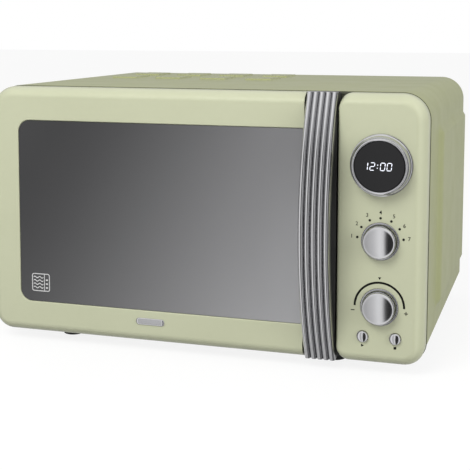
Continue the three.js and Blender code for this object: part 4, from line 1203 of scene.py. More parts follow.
@dataclass
class Foot:
    """One rubber foot with a shallow recess underneath."""

    radius: float = 11.5
    height: float = 9.0

    def make(self, name: str, x: float, y: float) -> bpy.types.Object:
        """Makes the foot under one place.

        Args:
            name: of the piece.
            x: of its middle.
            y: of its middle.

        Returns:
            The piece.
        """
        low = -self.height
        side = self.radius - 0.8
        profile = [(0, low + 0.5), (4.5, low + 0.5), (5.2, low), (side - 1.4, low),
                   (side - 0.4, low + 0.4), (side, low + 1.4), (self.radius - 0.2, 0.2),
                   (self.radius - 0.5, 0.7), (0, 0.7)]
        return turned(name, Axis.Z, (x, y, 0), profile, SMALL_ROUND)


@dataclass
class Cabinet:
    """Everything of the body outside the cavity and the component bay."""

    cover: Cover = field(default_factory=Cover)
    foot: Foot = field(default_factory=Foot)
    feet_x: tuple[float, ...] = (72.0, 352.0)
    feet_y: tuple[float, ...] = (22.0, 296.5)
    rear_y: float = 317.5
    rear_screws: tuple[Flat, ...] = ((12, 60), (12, 150), (60, 244), (180, 244), (300, 244),
                                     (400, 244), (431, 150), (431, 90), (150, 12), (290, 12))

    def build(self) -> None:
        """Makes and dresses every piece of the cabinet."""
        settle(self.cover.make(), "oven_body", COVER, "outer_cover")
        number = 0
        for x in self.feet_x:
            for y in self.feet_y:
                number += 1
                settle(self.foot.make(f"rubber_foot_{number}", x, y), "oven_body", RUBBER,
                       f"foot_{number}")
        settle(refined("rear_panel", "back_plate", 0.2), "oven_body", STEEL, "rear_panel")
        settle(refined("base_plate", "bottom_plate", 0.3), "oven_body", STEEL, "base_plate")
        settle(refined("front_frame", "face_plate", 0.2), "oven_body", SHADE, "front_frame")
        settle(refined("cavity_liner", "cavity_box", 0.3), "oven_body", ENAMEL, "cavity_liner")
        places = [(x, self.rear_y, z) for x, z in self.rear_screws]
        screws = Repeat("back_screws", screw_head(3.4, 0.8), places)
        settle(screws.make(STEEL), "oven_body", STEEL)
        # A dark ring painted into the seam as the shadow of the gap.
        settle(MOULDING.gasket(), "oven_body", SHADE)
        self.gland()

    def gland(self) -> None:
        """Makes the rounded gland of the supply cord's hole."""
        low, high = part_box("cord_gland")
        middle = (low + high) / 2 - ORIGIN
        y0 = (low.y - ORIGIN.y) / MM
        back = (high.y - ORIGIN.y) / MM
        flange = back - 0.7
        profile = [(4.2, y0), (7.5, y0), (7.5, flange), (11, flange), (10.9, back - 0.4),
                   (10.2, back), (5.4, back), (4.6, back - 0.5), (4.2, back - 1.6)]
        piece = turned("cord_bush", Axis.Y, (middle.x / MM, 0, middle.z / MM), profile, SMALL_ROUND)
        settle(piece, "oven_body", DARK, "cord_gland")


# --- Door ------------------------------------------------------------------------------------


@dataclass
class Moulding:
    """The rounded front edge that the door and the control panel share."""

    steps: int = 14
    relief: float = 9.5
    crest: float = 0.6
    hinge: Flat = (6.0, -9.0)

    def roll(self, inset: float) -> list[tuple[float, float]]:
        """Gives the inset and depth of each ring of the rounded edge, back to front.

        Args:
            inset: how far the whole skin is moved in.

        Returns:
            Pairs of inset and y.
        """
        wide = SITE.roll_width - inset
        deep = SITE.roll_depth - inset
        start = SITE.front + inset + deep
        turns = [math.radians(turn) for turn in spread(0, 90, self.steps)]
        return [(max(SITE.roll_width - wide * math.cos(t), self.lowered(inset)),
                 start - deep * math.sin(t)) for t in turns]

    def lowered(self, inset: float) -> float:
        """Gives the inset at the seam, where the outer skin lies a little below the cover."""
        return max(inset, self.crest)

    def behind(self, inset: float) -> list[tuple[float, float]]:
        """Gives the rings between the seam and the rounded edge."""
        start = SITE.front + SITE.roll_depth
        return [(self.lowered(inset), y) for y in spread(0, start, 6)[:-1]]

    def gasket(self) -> bpy.types.Object:
        """Makes a dark ring that paints the shadow of the gap between the moulding and the cover,
        where it shows as a thin dark line.

        Returns:
            The piece.
        """
        front, back = 0.1, SITE.seam - 0.1
        rings = [level(SITE.outline(inset), y)
                 for inset, y in ((2.4, back), (0.15, back), (0.15, front), (2.4, front))]
        return loft("seam_line", rings, loop=True)

    def relieved(self, point: Point) -> Point:
        """Draws a point of the door's back left edge in to the radius about the hinge.

        Args:
            point: of the door's skin.

        Returns:
            The point, drawn in where it lay beyond the radius.
        """
        x, y, z = point
        dx, dy = x - self.hinge[0], y - self.hinge[1]
        far = math.hypot(dx, dy)
        if dx > 0 or dy < 0 or far <= self.relief:
            return point
        share = self.relief / far
        return (self.hinge[0] + dx * share, self.hinge[1] + dy * share, z)


MOULDING = Moulding()


@dataclass
class DoorFrame:
    """The door's moulded frame around the window."""

    left: float = 33.4
    right: float = 329.3
    low: float = 33.7
    top: float = 218.8
    radius: float = 12.0
    corner: float = 2.0
    lip: float = 1.1
    set_back: float = 0.6
    thick: float = 3.0
    ledge: float = 4.0
    surround: float = 8.0
    slot_z: Flat = (22.0, 222.6)
    slot_front: float = -15.2
    slot_right: float = 9.6
    slot_height: float = 2.9

    def window(self, inset: float) -> list[Flat]:
        """Gives the window's outline moved in by an inset.

        Args:
            inset: in millimetres, below 0 to move it out.

        Returns:
            Points in x and z.
        """
        sides = (self.left + inset, self.right - inset, self.low + inset, self.top - inset)
        left, right = self.radius - inset, max(self.corner - inset, SITE.gap)
        return rounded(sides, (left, right, right, left))

    def make(self) -> bpy.types.Object:
        """Makes the frame.

        Returns:
            The piece.
        """
        front = SITE.front
        rings = [level(SITE.outline(inset), y)
                 for inset, y in MOULDING.behind(0) + MOULDING.roll(0)]
        lip = self.lip
        for turn in spread(0, 90, 5):
            t = math.radians(turn)
            out = lip * (1 - math.sin(t)) + SITE.gap
            rings.append(level(self.window(-out), front + lip * (1 - math.cos(t))))
        seat = front + self.set_back + self.thick + SITE.gap
        back = front + self.surround
        wall = SITE.wall
        for out, y in ((SITE.gap, seat), (-self.ledge, seat), (-self.ledge, back),
                       (self.ledge, back), (self.ledge, front + wall)):
            rings.append(level(self.window(-out), y))
        inside = list(reversed(MOULDING.behind(wall) + MOULDING.roll(wall)))
        rings += [level(SITE.outline(inset), y) for inset, y in inside]
        rings = [[MOULDING.relieved(point) for point in ring] for ring in rings]
        frame_piece = loft("door_moulding", rings, loop=True)
        self.trim(frame_piece)
        front = self.slot_front
        slots = [block("slot", (-1, front, z - 0.5), (self.slot_right, 1, z + self.slot_height))
                 for z in self.slot_z]
        return carved(frame_piece, slots)

    def trim(self, piece: bpy.types.Object) -> None:
        """Cuts the frame off beside the handle strip and closes the cut.

        Args:
            piece: the whole frame.
        """
        work = bmesh.new()
        work.from_mesh(piece.data)
        side = at((SITE.strip_left - SITE.gap, 0, 0))
        bmesh.ops.bisect_plane(work, geom=work.verts[:] + work.edges[:] + work.faces[:],
                               plane_co=side, plane_no=(1, 0, 0), clear_outer=True)
        rim = [edge for edge in work.edges if edge.is_boundary]
        bmesh.ops.contextual_create(work, geom=rim)
        work.normal_update()
        bmesh.ops.recalc_face_normals(work, faces=work.faces)
        work.to_mesh(piece.data)
        work.free()

    def glass(self) -> bpy.types.Object:
        """Makes the window pane with a ground edge.

        Returns:
            The piece.
        """
        front = SITE.front + self.set_back
        back = front + self.thick
        rings = [level(self.window(0.3), back), level(self.window(0), back - 0.3),
                 level(self.window(0), front + 0.5), level(self.window(0.12), front + 0.18),
                 level(self.window(0.5), front)]
        return loft("window_pane", rings)


@dataclass
class Handle:
    """The bowed handle: five half-round ribs on a dark carrier."""

    left: float = 330.6
    width: float = 29.4
    screw_x: float = 344.8
    screw_z: Flat = (11.0, 242.0)
    screw_front: float = -16.5
    screw_radius: float = 2.3
    reach: float = 53.0
    bow: float = 249.79
    ribs: int = 5
    depth: float = 3.4
    web: float = 1.4
    carrier: float = 6.5
    rib_steps: int = 12
    bow_steps: int = 90

    def bowed(self, name: str, section: Sequence[Flat], radius: float,
              inset: float = 0.0) -> bpy.types.Object:
        """Bends a section of x and outward height to the handle's bow.

        Args:
            name: of the piece.
            section: closed, in x and height.
            radius: of the bow at height 0.
            inset: of the ends.

        Returns:
            The piece.
        """
        middle = SITE.height / 2
        centre = self.bow - self.reach
        rings = []
        for z in spread(inset, SITE.height - inset, self.bow_steps):
            off = z - middle
            rings.append([(x, centre - math.sqrt((radius + h) ** 2 - off * off), z)
                          for x, h in section])
        return loft(name, rings)

    def rib_section(self) -> list[Flat]:
        """Gives the section of the chromed ribs and their web.

        Returns:
            Points in x and outward height.
        """
        pitch = self.width / self.ribs
        points = [(self.left + 0.15, 0.0), (self.left + self.width - 0.15, 0.0)]
        for rib in reversed(range(self.ribs)):
            for turn in spread(0, math.pi, self.rib_steps):
                x = self.left + pitch * (rib + 0.5 + 0.48 * math.cos(turn))
                points.append((x, self.web + self.depth * math.sin(turn)))
        return points

    def build(self) -> None:
        """Makes and dresses the handle."""
        radius = self.bow - self.depth - self.web
        ribs = self.bowed("handle_chrome", self.rib_section(), radius)
        # The ribs' finish paints shade into the valleys between them.
        settle(bevelled(ribs, 0.25, 2, 60), "door", CHROME_RIB_SHADE, "handle_ribs")
        edge = 0.8
        right = self.left + self.width
        section = [(self.left + edge, 0.0), (right - edge, 0.0), (right - 0.5, 1.0),
                   (right - 0.3, self.carrier), (self.left + 0.3, self.carrier),
                   (self.left + 0.5, 1.0)]
        core = self.bowed("handle_core", section, radius - SITE.gap - self.carrier)
        bore = [(0, self.screw_front), (self.screw_radius, self.screw_front),
                (self.screw_radius, 0), (0, 0)]
        holes = [turned("hole", Axis.Y, (self.screw_x, 0, z), bore, 24) for z in self.screw_z]
        settle(carved(core, holes), "door", DARK, "handle_carrier")
        settle(refined("handle_strip", "handle_backing", 0.4), "door", DARK, "handle_strip")
        for number in (1, 2):
            node = f"handle_screw_{number}"
            settle(refined(node, f"handle_fixing_{number}", 0.2), "door", STEEL, node)


@dataclass
class Pictogram:
    """The small oven symbol printed on the window: a round-cornered frame with three waves."""

    left: float = 46.0
    right: float = 66.0
    low: float = 44.0
    top: float = 62.5
    line: float = 0.9
    proud: float = 0.06
    set_back: float = 0.6

    def bar(self, sides: tuple[float, float, float, float]) -> bpy.types.Object:
        """Makes one flat bar of print.

        Args:
            sides: left, right, low and top.

        Returns:
            The bar.
        """
        face = SITE.front + self.set_back
        left, right, low, top = sides
        return block("bar", (left, face - self.proud, low), (right, face, top))

    def wave(self, z: float, left: float, right: float) -> bpy.types.Object:
        """Makes one wavy line.

        Args:
            z: its height.
            left: its left end.
            right: its right end.

        Returns:
            The line.
        """
        face = SITE.front + self.set_back
        half = 0.55 * self.line
        xs = spread(left, right, 24)
        rise = [z + 0.75 * math.sin((x - left) / (right - left) * 4 * math.pi) for x in xs]
        outline = [(x, r - half) for x, r in zip(xs, rise)]
        outline += [(x, r + half) for x, r in reversed(list(zip(xs, rise)))]
        return loft("wave", [level(outline, face - self.proud), level(outline, face)])

    def make(self) -> bpy.types.Object:
        """Makes the symbol.

        Returns:
            The piece.
        """
        face = SITE.front + self.set_back
        sides = (self.left, self.right, self.low, self.top)
        inner = (self.left + self.line, self.right - self.line, self.low + self.line,
                 self.top - self.line)
        outer = rounded(sides, (2.4,) * 4, 6, 2)
        inside = rounded(inner, (1.5,) * 4, 6, 2)
        ring = loft("ring", [level(outer, face), level(outer, face - self.proud),
                             level(inside, face - self.proud), level(inside, face)], loop=True)
        split = self.right - 6.4
        parts = [ring, self.bar((split, split + 0.8 * self.line, inner[2], inner[3]))]
        parts += [self.wave(z, self.left + 1.8, split - 0.9)
                  for z in spread(self.low + 4, self.top - 4, 3)]
        parts += [self.bar((split + 1.9, self.right - 2.2, z, z + 1.5))
                  for z in (self.low + 3.2, self.low + 7.2, self.low + 11.2)]
        return joined("window_symbol", parts)


@dataclass
class Door:
    """The door with all that it carries."""

    badge_radius: float = 3.3
    badge_dome: float = 2.6

    frame_piece: DoorFrame = field(default_factory=DoorFrame)
    handle: Handle = field(default_factory=Handle)
    symbol: Pictogram = field(default_factory=Pictogram)

    def badge(self) -> bpy.types.Object:
        """Makes the plain chromed badge with a domed face.

        Returns:
            The piece.
        """
        low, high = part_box("badge")
        low, high = (low - ORIGIN) / MM, (high - ORIGIN) / MM
        rings = []
        for turn in spread(0, 90, 6):
            t = math.radians(turn)
            inset = self.badge_dome * (1 - math.cos(t))
            sides = (low.x + inset, high.x - inset, low.z + inset, high.z - inset)
            y = high.y + (low.y - high.y) * math.sin(t)
            rings.append(level(rounded(sides, (self.badge_radius - inset,) * 4, 8, 4), y))
        return loft("door_badge", rings)

    def build(self) -> None:
        """Makes and dresses every piece of the door."""
        settle(self.frame_piece.make(), "door", GREEN, "door_frame")
        settle(self.frame_piece.glass(), "door", WINDOW, "door_window")
        settle(self.symbol.make(), "door", SILVER)
        settle(self.badge(), "door", CHROME, "badge")
        self.handle.build()
        settle(refined("choke_cover", "door_inner_cover", 0.4), "door", DARK, "choke_cover")
        settle(refined("inner_window", "door_inner_film", 0.2), "door", FILM, "inner_window")
        settle(refined("door_screen", "door_screen_tray", 0.2), "door", SCREEN, "door_screen")
        settle(refined("door_latch", "latch_hooks", 0.3), "door_latch", WHITE, "door_latch")
        STEEL.dress(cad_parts["latch_spring"])


# --- Control panel ---------------------------------------------------------------------------


@dataclass
class Fascia:
    """The moulded front of the control panel, open at the back."""

    left: float = 361.5
    corner: float = 11.0
    edge: float = 2.0

    def outline(self, inset: float, left: float, corner: float) -> list[Flat]:
        """Gives the panel's outline at one inset.

        Args:
            inset: of the right side, the top and the lower edge.
            left: of the left side.
            corner: radius of the left corners.

        Returns:
            Points in x and z.
        """
        sides = (self.left + left, SITE.width - inset, inset, SITE.height - inset)
        low, top = SITE.low_radius - inset, SITE.top_radius - inset
        return rounded(sides, (corner, low, top, corner))

    def rings(self, inset: float) -> list[list[Point]]:
        """Gives the rings of one skin from the seam to the front.

        Args:
            inset: how far the skin is moved in.

        Returns:
            The rings.
        """
        made = []
        front = SITE.front + inset
        for side, y in MOULDING.behind(inset) + MOULDING.roll(inset):
            near = max(0.0, self.edge - (y - front)) / self.edge
            left = inset + self.edge * (1 - math.sqrt(max(0.0, 1 - near * near)))
            made.append(level(self.outline(side, left, self.corner - 0.35 * (side - inset)), y))
        return made

    def make(self, holes: Sequence[bpy.types.Object]) -> bpy.types.Object:
        """Makes the fascia.

        Args:
            holes: shapes to cut out of it.

        Returns:
            The piece.
        """
        rings = list(reversed(self.rings(SITE.wall))) + self.rings(0)
        return carved(loft("panel_moulding", rings), holes)


@dataclass
class Knob:
    """A chromed knob with a crowned face and a rounded edge."""

    base: float = 15.3
    front: float = 15.1
    length: float = 8.5
    edge: float = 1.8
    edge_start: float = 28.0
    crown: float = 1.1
    back: float = -23.3
    bore_radius: float = 3.15

    def profile(self, bore: float) -> list[Flat]:
        """Gives the profile of radius and y.

        Args:
            bore: how deep the hole for the shaft is.

        Returns:
            The profile, from the middle of the face to the bottom of the hole.
        """
        tip = self.back - self.length
        flat = self.front - self.edge
        points = [(0.0, tip)]
        points += [(r, tip + self.crown * (r / flat) ** 2) for r in spread(0, flat, 14)[1:]]
        rim = tip + self.crown
        start = math.cos(math.radians(self.edge_start))
        for turn in spread(self.edge_start, 90, 6):
            t = math.radians(turn)
            points.append((flat + self.edge * math.sin(t), rim + self.edge * (start - math.cos(t))))
        points += [(self.base, self.back - 0.5), (self.base - 0.4, self.back),
                   (self.bore_radius, self.back), (self.bore_radius, self.back - bore),
                   (0, self.back - bore)]
        return points


class Segment(Enum):
    """The seven strokes of a digit: start and end, in shares of its width and height."""

    TOP = ((0, 2), (1, 2))
    MIDDLE = ((0, 1), (1, 1))
    LOW = ((0, 0), (1, 0))
    TOP_LEFT = ((0, 1), (0, 2))
    TOP_RIGHT = ((1, 1), (1, 2))
    LOW_LEFT = ((0, 0), (0, 1))
    LOW_RIGHT = ((1, 0), (1, 1))


STROKES: dict[str, tuple[Segment, ...]] = {
    "0": (Segment.TOP, Segment.LOW, Segment.TOP_LEFT, Segment.TOP_RIGHT, Segment.LOW_LEFT,
          Segment.LOW_RIGHT),
    "1": (Segment.TOP_RIGHT, Segment.LOW_RIGHT),
    "2": (Segment.TOP, Segment.MIDDLE, Segment.LOW, Segment.TOP_RIGHT, Segment.LOW_LEFT),
}


@dataclass
class Clock:
    """The lit digits of the display: strokes with pointed ends, leaning to the right."""

    width: float = 3.95
    half: float = 3.4
    stroke: float = 0.62
    gap: float = 0.25
    lean: float = 0.1
    pitch: float = 5.85
    digits: tuple[tuple[str, float], ...] = (("1", -2.5), ("2", -1.43), ("0", 0.18), ("0", 1.2))
    dot_rise: float = 1.4
    dot_left: float = 1.7
    dot_radius: float = 0.45
    proud: float = 0.12

    def prism(self, outline: Sequence[Flat], y: float) -> bpy.types.Object:
        """Makes a thin plate of an outline in front of the lens."""
        return loft("stroke", [level(outline, y - self.proud), level(outline, y)])

    def leaned(self, x: float, z: float, middle: float) -> Flat:
        """Leans a point to the right with its height above the middle."""
        return (x + self.lean * (z - middle), z)

    def segment(self, kind: Segment, x: float, z: float, y: float) -> bpy.types.Object:
        """Makes one stroke.

        Args:
            kind: which stroke.
            x: left side of the digit.
            z: middle of the digit.
            y: front of the lens.

        Returns:
            The stroke.
        """
        (x0, z0), (x1, z1) = kind.value
        start = Vector((x + x0 * self.width, z + (z0 - 1) * self.half))
        end = Vector((x + x1 * self.width, z + (z1 - 1) * self.half))
        along = (end - start).normalized()
        side = Vector((-along.y, along.x)) * self.stroke / 2
        first, last = start + along * self.gap, end - along * self.gap
        tip = along * self.stroke / 2
        outline = [first, first + tip - side, last - tip - side, last, last - tip + side,
                   first + tip + side]
        return self.prism([self.leaned(p.x, p.y, z) for p in outline], y)

    def make(self, x: float, z: float, y: float) -> bpy.types.Object:
        """Makes the digits 12:00.

        Args:
            x: middle of the display.
            z: middle of the display.
            y: front of the lens.

        Returns:
            The piece.
        """
        strokes = []
        for digit, place in self.digits:
            left = x + place * self.pitch
            strokes += [self.segment(kind, left, z, y) for kind in STROKES[digit]]
        for rise in (-self.dot_rise, self.dot_rise):
            dot = arc((x - self.dot_left + self.lean * rise, z + rise), self.dot_radius, 0, 330, 11)
            strokes.append(self.prism(dot, y))
        return joined("display_digits", strokes)


class Icon(Enum):
    """The small generic marks of the panel, as outlines about 2 mm wide."""

    PLAY = ((-0.8, -1.0), (1.1, 0.0), (-0.8, 1.0))
    STOP = ((-0.9, -0.9), (0.9, -0.9), (0.9, 0.9), (-0.9, 0.9))
    MINUS = ((-1.1, -0.25), (1.1, -0.25), (1.1, 0.25), (-1.1, 0.25))
    PLUS = ((-1.1, -0.25), (-0.25, -0.25), (-0.25, -1.1), (0.25, -1.1), (0.25, -0.25), (1.1, -0.25),
            (1.1, 0.25), (0.25, 0.25), (0.25, 1.1), (-0.25, 1.1), (-0.25, 0.25), (-1.1, 0.25))
    POINTER = ((0.0, -1.0), (1.0, 0.6), (-1.0, 0.6))


@dataclass
class Print:
    """The black print of the panel: dots, numbers, an arc and a few generic marks."""

    mode_z: float = 117.4
    dial_z: float = 56.0
    button_z: float = 27.2
    button_x: float = 15.1
    dots: int = 7
    dot_radius: float = 1.2
    dot_track: float = 21.4
    number_track: float = 26.6
    number_size: float = 5.0
    arc_radius: float = 22.8
    arc_half: float = 1.0
    proud: float = 0.05

    def plate(self, outline: Sequence[Flat]) -> bpy.types.Object:
        """Makes a thin plate of print on the panel.

        Args:
            outline: in x and z.

        Returns:
            The plate.
        """
        face = SITE.front
        return loft("print", [level(outline, face - self.proud), level(outline, face)])

    def turns(self) -> list[float]:
        """Gives the angles of the dots, clockwise from the top, in radians."""
        return [math.radians(turn) for turn in spread(-82.5, 82.5, self.dots - 1)]

    def dot_row(self) -> bpy.types.Object:
        """Makes the dots around the mode knob.

        Returns:
            The piece.
        """
        dot = self.plate(arc((0, 0), self.dot_radius, 0, 345, 23))
        dot.data.transform(Matrix.Translation(-at((0, SITE.front, 0))))
        places = [(SITE.control_x + self.dot_track * math.sin(t), SITE.front,
                   self.mode_z + self.dot_track * math.cos(t)) for t in self.turns()]
        return Repeat("mode_dots", dot, places).make(INK)

    def number(self, text: str, x: float, z: float) -> bpy.types.Object:
        """Makes one printed number.

        Args:
            text: the digits.
            x: its middle.
            z: its middle.

        Returns:
            The number.
        """
        curve = bpy.data.curves.new("number", "FONT")
        curve.body = text
        curve.size = self.number_size * MM
        curve.align_x = "CENTER"
        curve.align_y = "CENTER"
        curve.extrude = self.proud / 2 * MM
        curve.offset = 0.06 * MM
        curve.resolution_u = 3
        word = bpy.data.objects.new("number", curve)
        bpy.context.scene.collection.objects.link(word)
        bpy.context.view_layer.update()
        graph = bpy.context.evaluated_depsgraph_get()
        mesh = bpy.data.meshes.new_from_object(word.evaluated_get(graph), depsgraph=graph)
        bpy.data.objects.remove(word)
        place = Matrix.Translation(at((x, SITE.front - self.proud / 2, z)))
        mesh.transform(place @ Matrix.Rotation(QUARTER, 4, "X"))
        return as_object("number", mesh)

    def icon(self, kind: Icon, x: float, z: float, size: float = 1.0) -> bpy.types.Object:
        """Makes one mark.

        Args:
            kind: which mark.
            x: its middle.
            z: its middle.
            size: its scale.

        Returns:
            The mark.
        """
        return self.plate([(x + px * size, z + pz * size) for px, pz in kind.value])

    def build(self) -> None:
        """Makes and dresses the print."""
        settle(self.dot_row(), "oven_body", INK)
        x = SITE.control_x
        marks = []
        for number, turn in enumerate(self.turns(), 1):
            marks.append(self.number(str(number), x + self.number_track * math.sin(turn),
                                     self.mode_z + self.number_track * math.cos(turn)))
        radius = self.arc_radius
        outline = arc((x, self.dial_z), radius + self.arc_half, 0, 180, 60)
        outline += arc((x, self.dial_z), radius - self.arc_half, 180, 0, 60)
        marks.append(self.plate(outline))
        marks.append(self.icon(Icon.POINTER, x, self.dial_z + 27.0, 1.5))
        marks.append(self.icon(Icon.MINUS, x - 24.6, self.dial_z - 4.4, 1.6))
        marks.append(self.icon(Icon.PLUS, x + 24.6, self.dial_z - 4.4, 1.6))
        marks.append(self.icon(Icon.PLAY, x - self.button_x, self.button_z - 8.6, 1.4))
        marks.append(self.icon(Icon.STOP, x + self.button_x, self.button_z - 8.6, 1.4))
        settle(joined("panel_marks", marks), "oven_body", INK)


@dataclass
class ControlPanel:
    """The panel with its display, knobs and buttons."""

    fascia: Fascia = field(default_factory=Fascia)
    knob: Knob = field(default_factory=Knob)
    clock: Clock = field(default_factory=Clock)
    marks: Print = field(default_factory=Print)
    display_z: float = 187.6
    bezel_radius: float = 29.0
    face_radius: float = 22.8
    ring_radius: float = 17.65
    ring_inner: float = 15.8
    ring_rise: float = 1.3
    button_radius: float = 5.4
    shaft_hole: float = 3.5
    hole_span: Flat = (-30.0, -10.0)
    stem_radius: float = 3.0
    stem_span: Flat = (-30.4, -8.3)
    mode_bore: float = 6.3
    dial_bore: float = 6.5

    def holes(self) -> list[bpy.types.Object]:
        """Gives the shapes that are cut out of the fascia.

        Returns:
            The shapes.
        """
        x = SITE.control_x
        marks = self.marks
        places = [(x, self.display_z, self.face_radius - 1, ROUND),
                  (x, marks.mode_z, self.shaft_hole, SMALL_ROUND),
                  (x, marks.dial_z, self.shaft_hole, SMALL_ROUND),
                  (x - marks.button_x, marks.button_z, self.button_radius + 0.3, SMALL_ROUND),
                  (x + marks.button_x, marks.button_z, self.button_radius + 0.3, SMALL_ROUND)]
        front, back = self.hole_span
        made = [turned("hole", Axis.Y, (px, 0, z),
                       [(0, front), (r, front), (r, back), (0, back)], sides)
                for px, z, r, sides in places]
        handle = Handle()
        right = handle.left + handle.width + 0.5
        radius = handle.bow - handle.depth - handle.web - SITE.gap - handle.carrier - 0.5
        section = [(handle.left, 0.0), (right, 0.0), (right, 12.6), (handle.left, 12.6)]
        return made + [handle.bowed("hole", section, radius)]

    def bezel(self) -> bpy.types.Object:
        """Makes the display's chromed ring.

        Returns:
            The piece.
        """
        low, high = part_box("display_bezel")
        front, back = (low.y - ORIGIN.y) / MM, (high.y - ORIGIN.y) / MM
        inner = self.face_radius + 0.5
        outer = self.bezel_radius
        profile = [(inner, back), (inner, front + 0.9), (inner + 0.25, front + 0.35),
                   (inner + 0.7, front + 0.05), (inner + 1.2, front), (inner + 1.7, front + 0.12),
                   (inner + 2.1, front + 0.5)]
        lip, fall = inner + 2.1, back - 1.6 - front - 0.5
        for turn in spread(0, 90, 12)[1:]:
            t = math.radians(turn)
            profile.append((lip + (outer - 0.5 - lip) * (1 - math.cos(t)) ** 1.15,
                            front + 0.5 + fall * math.sin(t)))
        profile += [(outer - 0.1, back - 1.1), (outer, back - 0.6), (outer, back)]
        return turned("display_ring", Axis.Y, (SITE.control_x, 0, self.display_z), profile, 128)

    def lens(self) -> bpy.types.Object:
        """Makes the display's black lens with a rounded edge.

        Returns:
            The piece.
        """
        low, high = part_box("display_lens")
        front, back = (low.y - ORIGIN.y) / MM, (high.y - ORIGIN.y) / MM
        radius = self.face_radius + 0.2
        profile = [(0, front), (radius - 0.5, front), (radius - 0.1, front + 0.15),
                   (radius, front + 0.5), (radius, back), (0, back)]
        return turned("display_glass", Axis.Y, (SITE.control_x, 0, self.display_z), profile)

    def ring(self, name: str, z: float) -> bpy.types.Object:
        """Makes the flat ring behind a knob.

        Args:
            name: of the piece.
            z: height of its middle.

        Returns:
            The piece.
        """
        back = SITE.front - SITE.gap
        front = back - self.ring_rise
        inner, outer = self.ring_inner, self.ring_radius
        profile = [(inner, back), (inner, front + 0.2), (inner + 0.2, front),
                   (outer - 0.8, front), (outer - 0.3, front + 0.3), (outer, front + 0.8),
                   (outer, back)]
        return turned(name, Axis.Y, (SITE.control_x, 0, z), profile)

    def button(self, name: str, x: float) -> bpy.types.Object:
        """Makes a domed push button with its stem and flange.

        Args:
            name: of the piece.
            x: of its middle.

        Returns:
            The piece.
        """
        node = "start_button" if x < SITE.control_x else "cancel_button"
        low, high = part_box(node)
        front, end = (low.y - ORIGIN.y) / MM, (high.y - ORIGIN.y) / MM
        r = self.button_radius
        flange = SITE.front + SITE.wall + SITE.gap
        dome = [(r * math.sin(t), front + 2.1 * (1 - math.cos(t)) ** 0.85)
                for t in spread(0, QUARTER, 12)]
        profile = dome + [(r, flange), (r + 1.2, flange), (r + 1.2, flange + 1.5),
                          (2.2, flange + 1.5), (2.2, end), (0, end)]
        return turned(name, Axis.Y, (x, 0, self.marks.button_z), profile, 64)

    def build(self) -> None:
        """Makes and dresses every piece of the panel."""
        x = SITE.control_x
        marks = self.marks
        settle(self.fascia.make(self.holes()), "oven_body", GREEN, "control_fascia")
        settle(self.bezel(), "oven_body", CHROME, "display_bezel")
        settle(self.lens(), "oven_body", GLOSS, "display_lens")
        face = (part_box("display_lens")[0].y - ORIGIN.y) / MM
        settle(self.clock.make(x, self.display_z, face), "oven_body", DIGIT)
        settle(self.ring("mode_surround", marks.mode_z), "oven_body", SATIN, "mode_ring")
        settle(self.ring("time_surround", marks.dial_z), "oven_body", SATIN, "dial_ring")
        front, back = self.stem_span
        shaft = [(0, front), (self.stem_radius, front), (self.stem_radius, back), (0, back)]
        grip = turned("mode_grip", Axis.Y, (x, 0, marks.mode_z), self.knob.profile(self.mode_bore))
        stem = turned("mode_stem", Axis.Y, (x, 0, marks.mode_z), shaft, SMALL_ROUND)
        settle(joined("mode_knob_grip", [grip, stem]), "mode_knob", CHROME, "mode_knob")
        grip = turned("time_dial_grip", Axis.Y, (x, 0, marks.dial_z),
                      self.knob.profile(self.dial_bore))
        settle(grip, "time_dial", CHROME, "time_dial")
        settle(refined("dial_shaft", "dial_stem", 0.2), "dial_shaft", WHITE, "dial_shaft")
        settle(self.button("start_cap", x - marks.button_x), "start_button", CHROME, "start_button")
        settle(self.button("cancel_cap", x + marks.button_x), "cancel_button", CHROME,
               "cancel_button")
        settle(refined("control_board", "panel_board", 0.15), "oven_body", BOARD, "control_board")
        marks.build()


# --- Turntable ---------------------------------------------------------------------------------


